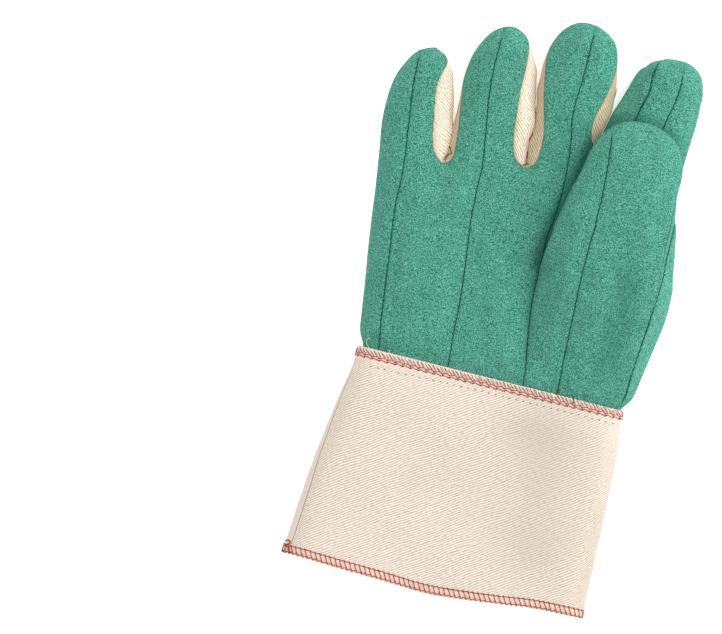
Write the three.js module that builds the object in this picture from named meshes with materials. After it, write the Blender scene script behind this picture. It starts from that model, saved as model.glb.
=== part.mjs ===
// Hot mill glove for the right hand, lying on its back, palm up, with the thumb folded over the palm.
//
// Millimetres, +Z up. The wrist seam is near y = 0, the fingertips point along +y and the thumb side is +x.
// The glove is sewn from seven cloth panels, a strap and a cuff. The panels follow one common outer skin:
// each has its own thickness inwards and stops just short of the panel on the other side of its seam.
import * as THREE from "three";

// Cloth and seams
const FLEECE = 3.5; // quilted green fleece
const TWILL = 2.0; // cream twill of the finger backs
const CUFF_CLOTH = 1.6;
const STRAP_CLOTH = 1.5;
const SEAM_GAP = 0.24; // each panel stops this far from the seam line
const CROTCH_GAP = 0.29; // the same at the corners where three panels meet
const CORNER_SHARE = 0.6; // share of the cloth's thickness that fits into the corner of the thumb's crotch
const LAYER_GAP = 0.4; // between cloths that lie on each other

// Heights of the lying glove
const FLOOR = 0;
const HAND_SIDE = 9.5; // height at which the outline is widest
const FINGER_TOP = 21;
const PALM_UNDER_THUMB = 21.4;
const THUMB_UNDERSIDE = 22.8;
const STRAP_SEAT = FLOOR + STRAP_CLOTH + LAYER_GAP; // underside of the back where the strap lies below it

// Rounding of the edges
const HAND_EDGE = 20; // reach of the palm's rounded edge
const BACK_EDGE = 9; // reach of the back's rounded edge
const BACK_INSET = 5; // from the outline to where a side turns into the back
const PLAIN_INSET = 0.2; // from the outline to a seam that lies on the edge
const UNDER_INSET = 0.9; // from the outline to the side's middle, below such a seam
const UNDER_DROP = 4; // the side's middle lies this much lower there
const TIP_EDGE = 14; // reach of a fingertip's rounding
const THUMB_EDGE = 22; // reach of the thumb's rounding
const FRONT_CURVE = 2.2; // fullness of the rounded edges in front, 2 for an ellipse
const BACK_CURVE = 2.5;
const BACK_CORNER_RISE = 0.5; // where a side turns into the back, over the back's level
const EDGE_MIN = 0.01; // least distance from an outline

// Furrows of the palm
const QUILT_DEPTH = 0.7;
const CROTCH_DIP = { depth: 5, width: 8, length: 24 }; // into each finger crotch
const CREASE_DIP = { depth: 2.2, width: 7, from: 5, rise: 15, to: 70, fall: 25 }; // along the thumb's crease
const UNDER_THUMB = { x: -4, width: 18, y: 40, length: 30 }; // where the palm flattens under the thumb

// Rows from the wrist up to the finger crotches
const HAND_ROWS = 14;
const THUMB_ROW = 8; // row of the thumb's crotch
const FIRST_ROWS = [0, 0.034, 0.075, 0.125]; // the rows beside the wrist seam are closer together
const WRIST_Y = -2; // the panels end inside the cuff
const EDGE_TOP = 136; // height of the crotch row at the thumb-side edge

// Columns across the hand, from the little finger's side to the thumb's side
const COLUMNS = 20;
const QUILT_COLUMNS = [2, 6, 11, 17];
const CREASE = 11; // column of the crease beside the thumb
const INDEX_COLUMN = 14; // column of the crotch between the middle and the index finger

// Rows of a finger or thumb
const TIP_ROWS = [0, 0.04, 0.12]; // the first rows above a crotch are closer together
const TIP_CORNERS = [0.2, 0.6, 4.2]; // the tip's corner lies this much lower, level by level
const TIP_QUILT = 0.7; // the quilt line ends at this share of the tip's arc
const FINGER_BLEND = 22; // a finger takes this long to round up from the palm
const BACK_BLEND = 12; // and this long from the back
const SIDE_SHOWS = 3; // a side with its seam this far in shows fully beside the front
const CROTCH_MIDDLE = { x: 0.6, y: 0.8 }; // the crotch's middle, as shares of the way from front to back

// Plan of the hand: the outline and the quilt lines, as x at some heights y above the wrist seam
const HAND_LEFT = [
  { y: -2, x: -72.4 }, { y: 3.6, x: -72.5 }, { y: 9, x: -76 }, { y: 20, x: -78 }, { y: 40, x: -80.8 },
  { y: 60, x: -83.8 }, { y: 80, x: -86.3 }, { y: 100, x: -88.7 }, { y: 112, x: -90.5 },
  { y: 125, x: -92 }, { y: 135, x: -92.8 }, { y: 142, x: -92.5 },
];
const HAND_RIGHT = [
  { y: -2, x: 72.6 }, { y: 30, x: 76 }, { y: 60, x: 80 }, { y: 74, x: 80.8 }, { y: 85, x: 80 },
  { y: 100, x: 78 }, { y: 115, x: 75.8 }, { y: 130, x: 74.6 }, { y: 150, x: 75.2 }, { y: 165, x: 76 },
  { y: 180, x: 75.6 },
];
const QUILT_LITTLE = [
  { y: -2, x: -63 }, { y: 20, x: -66.5 }, { y: 40, x: -69 }, { y: 60, x: -71.5 }, { y: 80, x: -74 },
  { y: 105, x: -75 }, { y: 125, x: -77.5 }, { y: 143, x: -80 }, { y: 160, x: -81.3 }, { y: 172, x: -81 },
];
const QUILT_RING = [
  { y: -2, x: -24 }, { y: 20, x: -26 }, { y: 40, x: -27 }, { y: 60, x: -29 }, { y: 80, x: -31.5 },
  { y: 100, x: -32.8 }, { y: 115, x: -33 }, { y: 135, x: -36 }, { y: 155, x: -39 }, { y: 175, x: -40 },
  { y: 193, x: -39.5 },
];
const QUILT_MIDDLE = [
  { y: -2, x: 18.3 }, { y: 12, x: 17 }, { y: 30, x: 14 }, { y: 50, x: 11.5 }, { y: 70, x: 11 },
  { y: 85, x: 11 }, { y: 100, x: 12.5 }, { y: 115, x: 13 }, { y: 137, x: 11.3 }, { y: 155, x: 8.3 },
  { y: 175, x: 9 }, { y: 205, x: 9 },
];
const QUILT_INDEX = [
  { y: 60, x: 50 }, { y: 100, x: 52.5 }, { y: 139, x: 55 }, { y: 160, x: 58.5 }, { y: 180, x: 62 },
  { y: 198, x: 61 },
];
const NOTCH_LITTLE_RING = [{ y: -2, x: -44 }, { y: 40, x: -47.5 }, { y: 80, x: -52 }, { y: 111, x: -54.6 }];
const NOTCH_RING_MIDDLE = [{ y: -2, x: -3 }, { y: 60, x: -7 }, { y: 119.5, x: -10.4 }];
const NOTCH_MIDDLE_INDEX = [{ y: 60, x: 27 }, { y: 100, x: 26 }, { y: 139, x: 25.4 }];

// Plan of the back: the seams between the back strips
const SEAM_LITTLE_RING = [
  { y: -2, x: -40 }, { y: 40, x: -40.5 }, { y: 80, x: -44 }, { y: 112.5, x: -53.5 },
];
const SEAM_RING_MIDDLE = [{ y: -2, x: -4 }, { y: 40, x: -4 }, { y: 80, x: -5 }, { y: 121, x: -10.6 }];
const SEAM_MIDDLE_INDEX = [{ y: -2, x: 33 }, { y: 60, x: 33.5 }, { y: 100, x: 30 }, { y: 140.5, x: 25.7 }];
const THUMB_CREASE = [
  { y: -2, x: 68.5, z: 5 }, { y: 15, x: 71, z: 5 }, { y: 30, x: 73.5, z: 5.5 }, { y: 45, x: 76, z: 6.5 },
  { y: 60, x: 79, z: 8.5 }, { y: 74, x: 80.8, z: 9.5 },
];

// Thumb: outline, seams and heights
const THUMB_LEFT = [
  { y: 60, x: 11 }, { y: 75, x: 11.5 }, { y: 90, x: 12.8 }, { y: 105, x: 15.3 }, { y: 118, x: 18.2 },
  { y: 128, x: 20.8 },
];
const THUMB_RIGHT = [
  { y: -2, x: 72.6 }, { y: 3.6, x: 72.8 }, { y: 9, x: 76.4 }, { y: 18, x: 79 }, { y: 35, x: 82.2 },
  { y: 50, x: 84.6 }, { y: 68, x: 85.6 }, { y: 80, x: 84 }, { y: 95, x: 81.5 }, { y: 115, x: 77.4 },
  { y: 125, x: 75.6 },
];
const THUMB_SEAM_INSET = [
  { y: -2, x: 1.5 }, { y: 10, x: 4 }, { y: 20, x: 6 }, { y: 35, x: 7.5 }, { y: 50, x: 8.6 },
  { y: 68, x: 9 }, { y: 80, x: 8 }, { y: 95, x: 6 }, { y: 110, x: 2.8 }, { y: 125, x: PLAIN_INSET },
];
const THUMB_QUILT = [
  { y: -2, x: 37.8 }, { y: 15, x: 36.5 }, { y: 35, x: 35.5 }, { y: 70, x: 34 }, { y: 100, x: 34.4 },
  { y: 125, x: 34.3 }, { y: 150, x: 37 },
];
const THUMB_TOP = [
  { y: -2, x: 17.2 }, { y: 3.6, x: 17.3 }, { y: 9, x: 21.4 }, { y: 30, x: 28 }, { y: 50, x: 34.5 },
  { y: 70, x: 40 }, { y: 90, x: 43.2 }, { y: 110, x: 44 }, { y: 160, x: 43 },
];
const THUMB_COLUMNS = 7;
const THUMB_QUILT_COLUMN = 2;
const THUMB_ROWS = 9;
const THUMB_EASE = [8.2, 11, 14]; // length over which the thumb opens above its crotch, level by level
const THUMB_INNER_SIDE = 31; // height of the side that faces the fingers
const THUMB_SIDE = [
  { y: -2, x: 9.5 }, { y: 30, x: 13 }, { y: 50, x: 17 }, { y: 70, x: 22.5 }, { y: 85, x: 28 },
  { y: 100, x: 32 }, { y: 120, x: 33 }, { y: 160, x: 33 },
];

// Heights of the hand over y
const PALM_TOP = [
  { y: -2, x: 17.2 }, { y: 3.6, x: 17.3 }, { y: 9, x: 20.8 }, { y: 25, x: 22.4 }, { y: 50, x: 23.6 },
  { y: 80, x: 23.4 }, { y: 105, x: 22.2 }, { y: 130, x: FINGER_TOP }, { y: 210, x: FINGER_TOP },
];
const BACK_LEVEL = [
  { y: -2, x: 2.6 }, { y: 6, x: 2.3 }, { y: 14, x: STRAP_SEAT }, { y: 30, x: STRAP_SEAT },
  { y: 86, x: STRAP_SEAT }, { y: 108, x: 0.5 }, { y: 120, x: 0.2 }, { y: 210, x: 0.2 },
];

// Fingers. first and last are their columns in the hand. left and right are the outlines up to where the
// fingertip's arc starts, tipX and tipY its top, roundLeft and roundRight its fullness, and drop the depth of
// its corners. insetLeft and insetRight run from the outline to the seam beside the front panel, which is
// where the twill of the back shows from the palm side.
const EDGE_SEAM = [{ y: 0, x: PLAIN_INSET }, { y: 210, x: PLAIN_INSET }];
const FINGERS = [
  {
    name: "little", back: "little_back", first: 0, last: 4, rows: 8,
    left: [{ y: 106, x: -89.6 }, { y: 125, x: -92 }, { y: 135, x: -92.8 }, { y: 140, x: -92.6 }],
    right: [{ y: 112, x: -54.0 }, { y: 116, x: -53.9 }],
    tipX: -73, tipY: 172.3, roundLeft: 2, roundRight: 2, drop: 7.5,
    insetLeft: EDGE_SEAM,
    insetRight: [
      { y: 111, x: 1 }, { y: 114, x: 5 }, { y: 118, x: 7.8 }, { y: 125, x: 9.4 }, { y: 140, x: 10.6 },
      { y: 150, x: 10 }, { y: 160, x: 6 }, { y: 167, x: 1.6 }, { y: 172, x: PLAIN_INSET },
    ],
    quilt: QUILT_LITTLE,
  },
  {
    name: "ring", back: "ring_back", first: 4, last: 8, rows: 9,
    left: [{ y: 112, x: -53.0 }, { y: 122, x: -52.9 }, { y: 140, x: -54 }, { y: 158, x: -54.7 }],
    right: [{ y: 121, x: -11.2 }, { y: 135, x: -11.4 }],
    tipX: -34, tipY: 193.5, roundLeft: 2.1, roundRight: 2, drop: 7.5,
    insetLeft: [
      { y: 111, x: 1 }, { y: 115, x: 2.6 }, { y: 122, x: 3 }, { y: 140, x: 2 }, { y: 158, x: PLAIN_INSET },
    ],
    insetRight: [
      { y: 119, x: 1 }, { y: 122, x: 4 }, { y: 125, x: 6 }, { y: 132, x: 8.3 }, { y: 145, x: 9.6 },
      { y: 160, x: 9 }, { y: 168, x: 7.3 }, { y: 176, x: 5 }, { y: 184, x: 2.6 },
      { y: 190, x: PLAIN_INSET },
    ],
    quilt: QUILT_RING,
  },
  {
    name: "middle", back: "middle_back", first: 8, last: 14, rows: 9,
    left: [
      { y: 121, x: -10.0 }, { y: 140, x: -10.4 }, { y: 150, x: -11.3 }, { y: 162, x: -13.4 },
      { y: 174, x: -14.3 },
    ],
    right: [{ y: 140, x: 25.2 }, { y: 148, x: 26.2 }, { y: 156, x: 27.8 }, { y: 164, x: 28.8 }],
    tipX: 5.5, tipY: 205.5, roundLeft: 2.2, roundRight: 2.3, drop: 8,
    insetLeft: [
      { y: 119, x: 1 }, { y: 123, x: 4.6 }, { y: 130, x: 5.8 }, { y: 140, x: 5.8 }, { y: 150, x: 4.4 },
      { y: 165, x: 3.2 }, { y: 178, x: 1.6 }, { y: 188, x: PLAIN_INSET },
    ],
    insetRight: [
      { y: 139, x: 1 }, { y: 143, x: 3.2 }, { y: 148, x: 5.6 }, { y: 155, x: 7 }, { y: 163, x: 6 },
      { y: 170, x: 4.4 }, { y: 178, x: 2.4 }, { y: 188, x: PLAIN_INSET },
    ],
    quilt: QUILT_MIDDLE,
  },
  {
    name: "index", back: "index_back", first: 14, last: 20, rows: 8,
    left: [
      { y: 140, x: 26.2 }, { y: 148, x: 27.4 }, { y: 156, x: 29 }, { y: 164, x: 31 }, { y: 176, x: 34.4 },
    ],
    right: HAND_RIGHT,
    tipX: 59, tipY: 197.7, roundLeft: 2, roundRight: 2.2, drop: 7.5,
    insetLeft: [
      { y: 139, x: 1 }, { y: 144, x: 6 }, { y: 150, x: 10 }, { y: 160, x: 12.8 }, { y: 171, x: 12.6 },
      { y: 180, x: 10.8 }, { y: 188, x: 7 }, { y: 194, x: 3 },
    ],
    insetRight: EDGE_SEAM,
    quilt: QUILT_INDEX,
  },
];
const CROTCHES = [
  { column: 4, left: "little_back", right: "ring_back", front: NOTCH_LITTLE_RING, back: SEAM_LITTLE_RING },
  { column: 8, left: "ring_back", right: "middle_back", front: NOTCH_RING_MIDDLE, back: SEAM_RING_MIDDLE },
  {
    column: INDEX_COLUMN, left: "middle_back", right: "index_back",
    front: NOTCH_MIDDLE_INDEX, back: SEAM_MIDDLE_INDEX,
  },
];

// The palm's guide lines across the hand, with the height of each at the crotch row
const GUIDES = [
  { column: 0, line: HAND_LEFT, top: 106, inset: PLAIN_INSET },
  { column: 2, line: QUILT_LITTLE, top: 109 },
  { column: 4, line: NOTCH_LITTLE_RING, top: 111 },
  { column: 6, line: QUILT_RING, top: 115 },
  { column: 8, line: NOTCH_RING_MIDDLE, top: 119.5 },
  { column: 11, line: QUILT_MIDDLE, top: 130 },
  { column: INDEX_COLUMN, line: NOTCH_MIDDLE_INDEX, top: 139 },
  { column: 17, line: QUILT_INDEX, top: 139 },
  { column: COLUMNS, line: HAND_RIGHT, top: EDGE_TOP, inset: -PLAIN_INSET },
];
const BACK_GUIDES = [
  { column: 0, line: HAND_LEFT, top: 108, inset: BACK_INSET },
  { column: 4, line: SEAM_LITTLE_RING, top: 112.5 },
  { column: 8, line: SEAM_RING_MIDDLE, top: 121 },
  { column: INDEX_COLUMN, line: SEAM_MIDDLE_INDEX, top: 140.5 },
  { column: COLUMNS, line: HAND_RIGHT, top: EDGE_TOP, inset: -BACK_INSET },
];

// Gauntlet cuff, from its raw edge over the wrist seam down to the hem
const CUFF_ROWS = 11;
const CUFF_COLUMNS = 14; // across the front, and again across the back
const CUFF = [
  { y: 2.6, left: -75.2, right: 75.2, top: 20.0 },
  { y: -4, left: -75.6, right: 75.6, top: 20.2 },
  { y: -14, left: -76.4, right: 76.6, top: 20.8 },
  { y: -28, left: -78.4, right: 78.0, top: 20.2 },
  { y: -45, left: -80.8, right: 78.7, top: 19.0 },
  { y: -65, left: -83.6, right: 79.6, top: 18.0 },
  { y: -85, left: -86.0, right: 80.0, top: 17.6 },
  { y: -104, left: -87.8, right: 80.3, top: 18.0 },
  { y: -118, left: -88.8, right: 80.4, top: 18.6 },
];
const HEM = [
  { x: -89, y: -117 }, { x: -60, y: -118.3 }, { x: -30, y: -119.4 }, { x: -8, y: -120.4 },
  { x: 12, y: -119.2 }, { x: 35, y: -116 }, { x: 60, y: -113.8 }, { x: 81, y: -113 },
];
const CUFF_EDGE = 15; // reach of the rounding at its sides
const CUFF_SIDE_RISE = 0.5; // its side seams lie this much over half its height
const CUFF_WAVE = { height: 0.6, across: 13, along: 17, slow: 21, phase: 1, fade: 20 };

// Knuckle strap
const STRAP_LOW = 37;
const STRAP_HIGH = 79;
const STRAP_ROWS = 4;
const STRAP_COLUMNS = 15;
const STRAP_CROWDING = 1.5; // its columns crowd towards the rounded edge of the hand
const STRAP_INSET_LEFT = 1.6;
const STRAP_INSET_RIGHT = 1;

const COLORS = { fleece: 0x3f9d80, twill: 0xe6d8c6 };

// Smooth value of a table's column at a place along it: cubic pieces through the rows
function lookUp(table, at, column = "x", along = "y") {
  const rows = table[0][along] <= table[table.length - 1][along] ? table : [...table].reverse();
  const last = rows.length - 1;
  if (at <= rows[0][along]) return rows[0][column];
  if (at >= rows[last][along]) return rows[last][column];
  const i = rows.findIndex((row) => row[along] > at) - 1;
  const slope = (k) => {
    const a = Math.max(k - 1, 0);
    const b = Math.min(k + 1, last);
    return (rows[b][column] - rows[a][column]) / (rows[b][along] - rows[a][along]);
  };
  const span = rows[i + 1][along] - rows[i][along];
  const t = (at - rows[i][along]) / span;
  const h = (rows[i + 1][column] - rows[i][column]) / span;
  const m0 = limitSlope(slope(i), h);
  const m1 = limitSlope(slope(i + 1), h);
  const c = 3 * h - 2 * m0 - m1;
  const d = m0 + m1 - 2 * h;
  return rows[i][column] + span * t * (m0 + t * (c + t * d));
}

// Keeps the cubic from overshooting its rows
function limitSlope(slope, chord) {
  if (slope * chord <= 0) return 0;
  return Math.sign(chord) * Math.min(Math.abs(slope), 3 * Math.abs(chord));
}

const point = (x, y, z) => new THREE.Vector3(x, y, z);
const mix = (a, b, t) => a + (b - a) * t;
const clamp01 = (t) => Math.min(Math.max(t, 0), 1);
const smooth = (t) => clamp01(t) ** 2 * (3 - 2 * clamp01(t));

// Quarter of a rounded edge: 0 at the outline, 1 from the reach inwards
function round(distance, reach, curve) {
  const t = clamp01(distance / reach);
  return (1 - (1 - t) ** curve) ** (1 / curve);
}

// Outline of a finger on one side (-1 left, +1 right) at height y, drawn in by an inset
function outlineX(finger, side, y, inset = 0) {
  const table = side < 0 ? finger.left : finger.right;
  const curve = side < 0 ? finger.roundLeft : finger.roundRight;
  const start = table[table.length - 1];
  if (y <= start.y) return lookUp(table, y) - side * inset;
  const half = Math.abs(finger.tipX - start.x) - inset;
  const t = Math.min((y - start.y) / (finger.tipY - start.y - inset), 1);
  return finger.tipX + side * half * (1 - t ** curve) ** (1 / curve);
}

// Height of the fingertip's outline over x, drawn in by an inset
function outlineY(finger, x, inset = 0) {
  const side = x < finger.tipX ? -1 : 1;
  const table = side < 0 ? finger.left : finger.right;
  const curve = side < 0 ? finger.roundLeft : finger.roundRight;
  const start = table[table.length - 1];
  const half = Math.abs(finger.tipX - start.x) - inset;
  const t = Math.min(Math.abs(x - finger.tipX) / half, 1);
  return start.y + (finger.tipY - start.y - inset) * (1 - t ** curve) ** (1 / curve);
}

// The skin: all panels' faces on shared points
const WELD = 0.002; // points closer than this are one point
const skin = { points: [], lookup: new Map(), faces: [], normals: new Map(), shifts: new Map() };

function vertex(at) {
  const key = at.toArray().map((value) => Math.round(value / WELD)).join();
  if (!skin.lookup.has(key)) {
    skin.lookup.set(key, skin.points.length);
    skin.points.push(at.clone());
  }
  return skin.lookup.get(key);
}

// A grid of faces between two rows and two columns; at(row, column) gives its points
function patch(panel, [row0, row1], [column0, column1], at, flip = false) {
  for (let i = row0; i < row1; i += 1) {
    for (let j = column0; j < column1; j += 1) {
      const corners = [at(i, j), at(i, j + 1), at(i + 1, j + 1), at(i + 1, j)].map(vertex);
      addFace(panel, corners, flip);
    }
  }
}

function addFace(panel, corners, flip) {
  const ring = corners.filter((corner, k) => corner !== corners[(k + 1) % corners.length]);
  if (ring.length > 2) skin.faces.push({ panel, ring: flip ? ring.reverse() : ring });
}

// Rows of the hand, from the wrist (0) to the crotch row (1)
function rowShare(row) {
  if (row < FIRST_ROWS.length) return FIRST_ROWS[row];
  const start = FIRST_ROWS[FIRST_ROWS.length - 1];
  return mix(start, 1, (row - FIRST_ROWS.length + 1) / (HAND_ROWS - FIRST_ROWS.length + 1));
}

// Plan point of the hand at a row and a column, between its guide lines
function handPlan(guides, row, column) {
  const k = Math.max(guides.findIndex((guide) => guide.column >= column), 1);
  const [a, b] = [guides[k - 1], guides[k]].map((guide) => {
    const y = mix(WRIST_Y, guide.top, rowShare(row));
    return { x: lookUp(guide.line, y) + (guide.inset ?? 0), y };
  });
  const t = (column - guides[k - 1].column) / (guides[k].column - guides[k - 1].column);
  return { x: mix(a.x, b.x, t), y: mix(a.y, b.y, t) };
}

// Height of the palm's skin
function palmZ(x, y) {
  const across = smooth((x - UNDER_THUMB.x) / UNDER_THUMB.width);
  const along = smooth((y - UNDER_THUMB.y) / UNDER_THUMB.length);
  const top = mix(lookUp(PALM_TOP, y), PALM_UNDER_THUMB, across * along);
  const edge = Math.min(x - lookUp(HAND_LEFT, y), lookUp(HAND_RIGHT, y) - x);
  let z = mix(HAND_SIDE, top, round(edge, HAND_EDGE, FRONT_CURVE));
  for (const crotch of CROTCHES) {
    const end = crotch.front[crotch.front.length - 1];
    const across = (x - lookUp(crotch.front, y)) / CROTCH_DIP.width;
    const along = Math.max(end.y - y, 0) / CROTCH_DIP.length;
    z -= CROTCH_DIP.depth * Math.exp(-(across ** 2) - along);
  }
  const fromCrease = (x - lookUp(QUILT_MIDDLE, y)) / CREASE_DIP.width;
  const start = smooth((y - CREASE_DIP.from) / CREASE_DIP.rise);
  const end = 1 - smooth((y - CREASE_DIP.to) / CREASE_DIP.fall);
  return z - CREASE_DIP.depth * Math.exp(-(fromCrease ** 2)) * start * end;
}

// Distance from a finger's outline, its sides and tip together, as a share of the reach of its rounding
function edgeShare(finger, x, y, reach, tipReach) {
  const side = Math.min(x - outlineX(finger, -1, y), outlineX(finger, 1, y) - x);
  const tip = outlineY(finger, x) - y;
  const shares = [Math.max(side, EDGE_MIN) / reach, Math.max(tip, EDGE_MIN) / tipReach];
  return (shares[0] ** -3 + shares[1] ** -3) ** (-1 / 3);
}

// Height of a finger's front
function fingerZ(finger, x, y) {
  const half = Math.max((outlineX(finger, 1, y) - outlineX(finger, -1, y)) / 2, TIP_EDGE);
  return mix(HAND_SIDE, FINGER_TOP, round(edgeShare(finger, x, y, half, TIP_EDGE), 1, FRONT_CURVE));
}

// Height of the back's skin, which lies on the floor or on the strap
function backZ(x, y, finger) {
  const side = Math.min(x - lookUp(HAND_LEFT, y), lookUp(HAND_RIGHT, y) - x) / BACK_EDGE;
  const share = finger ? edgeShare(finger, x, y, BACK_EDGE, BACK_EDGE) : side;
  return mix(HAND_SIDE, lookUp(BACK_LEVEL, y), round(share, 1, BACK_CURVE));
}

function palmPoint(row, column) {
  const { x, y } = handPlan(GUIDES, row, column);
  const isQuilt = QUILT_COLUMNS.includes(column) && !(column === CREASE && row <= THUMB_ROW);
  return point(x, y, palmZ(x, y) - (isQuilt ? QUILT_DEPTH : 0));
}

// Beside the thumb's strip, the back of the index finger reaches only to the thumb's crease
function backPoint(row, column) {
  const plan = handPlan(BACK_GUIDES, row, column);
  if (column > INDEX_COLUMN && row < THUMB_ROW) {
    const edge = lookUp(THUMB_CREASE, plan.y) - BACK_INSET;
    const share = (column - INDEX_COLUMN) / (COLUMNS - INDEX_COLUMN);
    plan.x = mix(lookUp(SEAM_MIDDLE_INDEX, plan.y), edge, share);
  }
  const rise = column === 0 || column === COLUMNS ? BACK_CORNER_RISE : 0;
  return point(plan.x, plan.y, lookUp(BACK_LEVEL, plan.y) + rise);
}

// The sides of the hand, in three levels: the front seam, the widest line and the turn into the back
function leftSide(row, level) {
  if (level === 0) return palmPoint(row, 0);
  if (level === 2) return backPoint(row, 0);
  const y = palmPoint(row, 0).y;
  return point(lookUp(HAND_LEFT, y) + UNDER_INSET, y, HAND_SIDE - UNDER_DROP);
}

function rightSide(row, level) {
  if (level === 0) return palmPoint(row, COLUMNS);
  if (level === 2) return backPoint(row, COLUMNS);
  const y = palmPoint(row, COLUMNS).y;
  if (row < THUMB_ROW) return point(lookUp(THUMB_CREASE, y), y, lookUp(THUMB_CREASE, y, "z"));
  return point(lookUp(HAND_RIGHT, y) - UNDER_INSET, y, HAND_SIDE - UNDER_DROP);
}

// The bottom of the wall between two fingers: front seam, middle and back seam
function crotchPoint(crotch, level) {
  const front = palmPoint(HAND_ROWS, crotch.column);
  const back = backPoint(HAND_ROWS, crotch.column);
  if (level === 0) return front;
  if (level === 2) return back;
  return point(mix(front.x, back.x, CROTCH_MIDDLE.x), mix(front.y, back.y, CROTCH_MIDDLE.y), HAND_SIDE);
}

// A finger above its base row: front, sides, tip and back. base gives the points of row 0.
function addDigit(digit, frontPanel, backPanel, base) {
  const count = digit.last - digit.first;
  const rows = digit.rows;
  const quiltColumn = digit.quiltColumn ?? count / 2;
  const share = (row) => {
    const first = TIP_ROWS.length - 1;
    return row <= first ? TIP_ROWS[row] : mix(TIP_ROWS[first], 1, (row - first) / (rows - first));
  };
  const seamInset = (side, y) => lookUp(side < 0 ? digit.insetLeft : digit.insetRight, y);
  // 1 where the side shows beside the front panel, 0 where its seam lies on the outline
  const shows = (side, y) => smooth(seamInset(side, y) / SIDE_SHOWS);
  const sideX = (side, level, y) => {
    if (level === 0) return outlineX(digit, side, y) - side * seamInset(side, y);
    if (level === 1) return outlineX(digit, side, y, mix(UNDER_INSET, 0, shows(side, y)));
    const rise = y - base.side(side, 2).y;
    return outlineX(digit, side, y, BACK_INSET * (base.crotch(side) ? smooth(rise / BACK_BLEND) : 1));
  };
  const height = (level, x, y, start, sideDrop = 0) => {
    if (level === 0) return digit.frontZ(x, y, start);
    if (level === 1) return digit.sideZ(x, y) - sideDrop;
    return digit.backZ(x, y, start);
  };
  const ease = (rise, level) => (digit.ease ? smooth(rise / digit.ease[level]) : 1);
  const corner = (side, level) => {
    const y = digit.tipY - digit.drop - TIP_CORNERS[level];
    return { x: sideX(side, level, y), y };
  };
  const sidePoint = (side, row, level) => {
    const start = base.side(side, level);
    if (row === 0) return start;
    const y = mix(start.y, corner(side, level).y, share(row));
    const x = sideX(side, level, y);
    const z = height(level, x, y, start.y, UNDER_DROP * (1 - shows(side, y)));
    const t = ease(y - start.y, level);
    return point(mix(start.x, x, t), y, mix(start.z, z, t));
  };
  // Columns are even on each side of the quilt line, or of the middle where there is none
  const columnX = (left, right, column, quiltY) => {
    const x = quiltY === null ? mix(left, right, quiltColumn / count) : lookUp(digit.quilt, quiltY);
    if (column <= quiltColumn) return mix(left, x, column / quiltColumn);
    return mix(x, right, (column - quiltColumn) / (count - quiltColumn));
  };
  const tipPoint = (column, level) => {
    if (column === 0) return sidePoint(-1, rows, level);
    if (column === count) return sidePoint(1, rows, level);
    const a = corner(-1, level);
    const b = corner(1, level);
    const x = columnX(a.x, b.x, column, level === 0 ? mix(a.y, digit.tipY, TIP_QUILT) : null);
    const y = outlineY(digit, x, [PLAIN_INSET, UNDER_INSET, BACK_INSET][level]);
    return point(x, y, height(level, x, y, 0, UNDER_DROP));
  };
  const grid = (row, column, level) => {
    const start = level === 0 ? base.front(column) : base.back(column);
    if (row === 0) return start;
    if (row === rows) return tipPoint(column, level);
    if (column === 0) return sidePoint(-1, row, level);
    if (column === count) return sidePoint(1, row, level);
    const y = mix(start.y, tipPoint(column, level).y, share(row));
    const left = sideX(-1, level, Math.min(y, corner(-1, level).y));
    const right = sideX(1, level, Math.min(y, corner(1, level).y));
    const even = columnX(left, right, column, level === 0 ? y : null);
    const x = mix(start.x, even, smooth(row / 2));
    const quilted = level === 0 && column === quiltColumn && row < rows - 1;
    const z = height(level, x, y, start.y) - (quilted ? QUILT_DEPTH : 0);
    return point(x, y, mix(start.z, z, ease(y - start.y, level)));
  };
  patch(frontPanel, [0, rows], [0, count], (i, j) => grid(i, j, 0));
  patch(backPanel, [0, rows], [0, count], (i, j) => grid(i, j, 2), true);
  patch(backPanel, [0, rows], [0, 2], (i, j) => sidePoint(-1, i, j), true);
  patch(backPanel, [0, rows], [0, 2], (i, j) => sidePoint(1, i, j));
  patch(backPanel, [0, 2], [0, count], (i, j) => tipPoint(j, i));
}

function addFingers() {
  for (const finger of FINGERS) {
    const crotchAt = (side) => {
      const column = side < 0 ? finger.first : finger.last;
      return CROTCHES.find((crotch) => crotch.column === column);
    };
    const digit = {
      ...finger,
      frontZ: (x, y, start) => {
        return mix(palmZ(x, y), fingerZ(finger, x, y), smooth((y - start) / FINGER_BLEND));
      },
      sideZ: () => HAND_SIDE,
      backZ: (x, y, start) => {
        return mix(lookUp(BACK_LEVEL, y), backZ(x, y, finger), smooth((y - start) / BACK_BLEND));
      },
    };
    addDigit(digit, "palm", finger.back, {
      front: (column) => palmPoint(HAND_ROWS, finger.first + column),
      back: (column) => backPoint(HAND_ROWS, finger.first + column),
      crotch: crotchAt,
      side: (side, level) => {
        const crotch = crotchAt(side);
        if (crotch) return crotchPoint(crotch, level);
        return side < 0 ? leftSide(HAND_ROWS, level) : rightSide(HAND_ROWS, level);
      },
    });
  }
}

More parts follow.
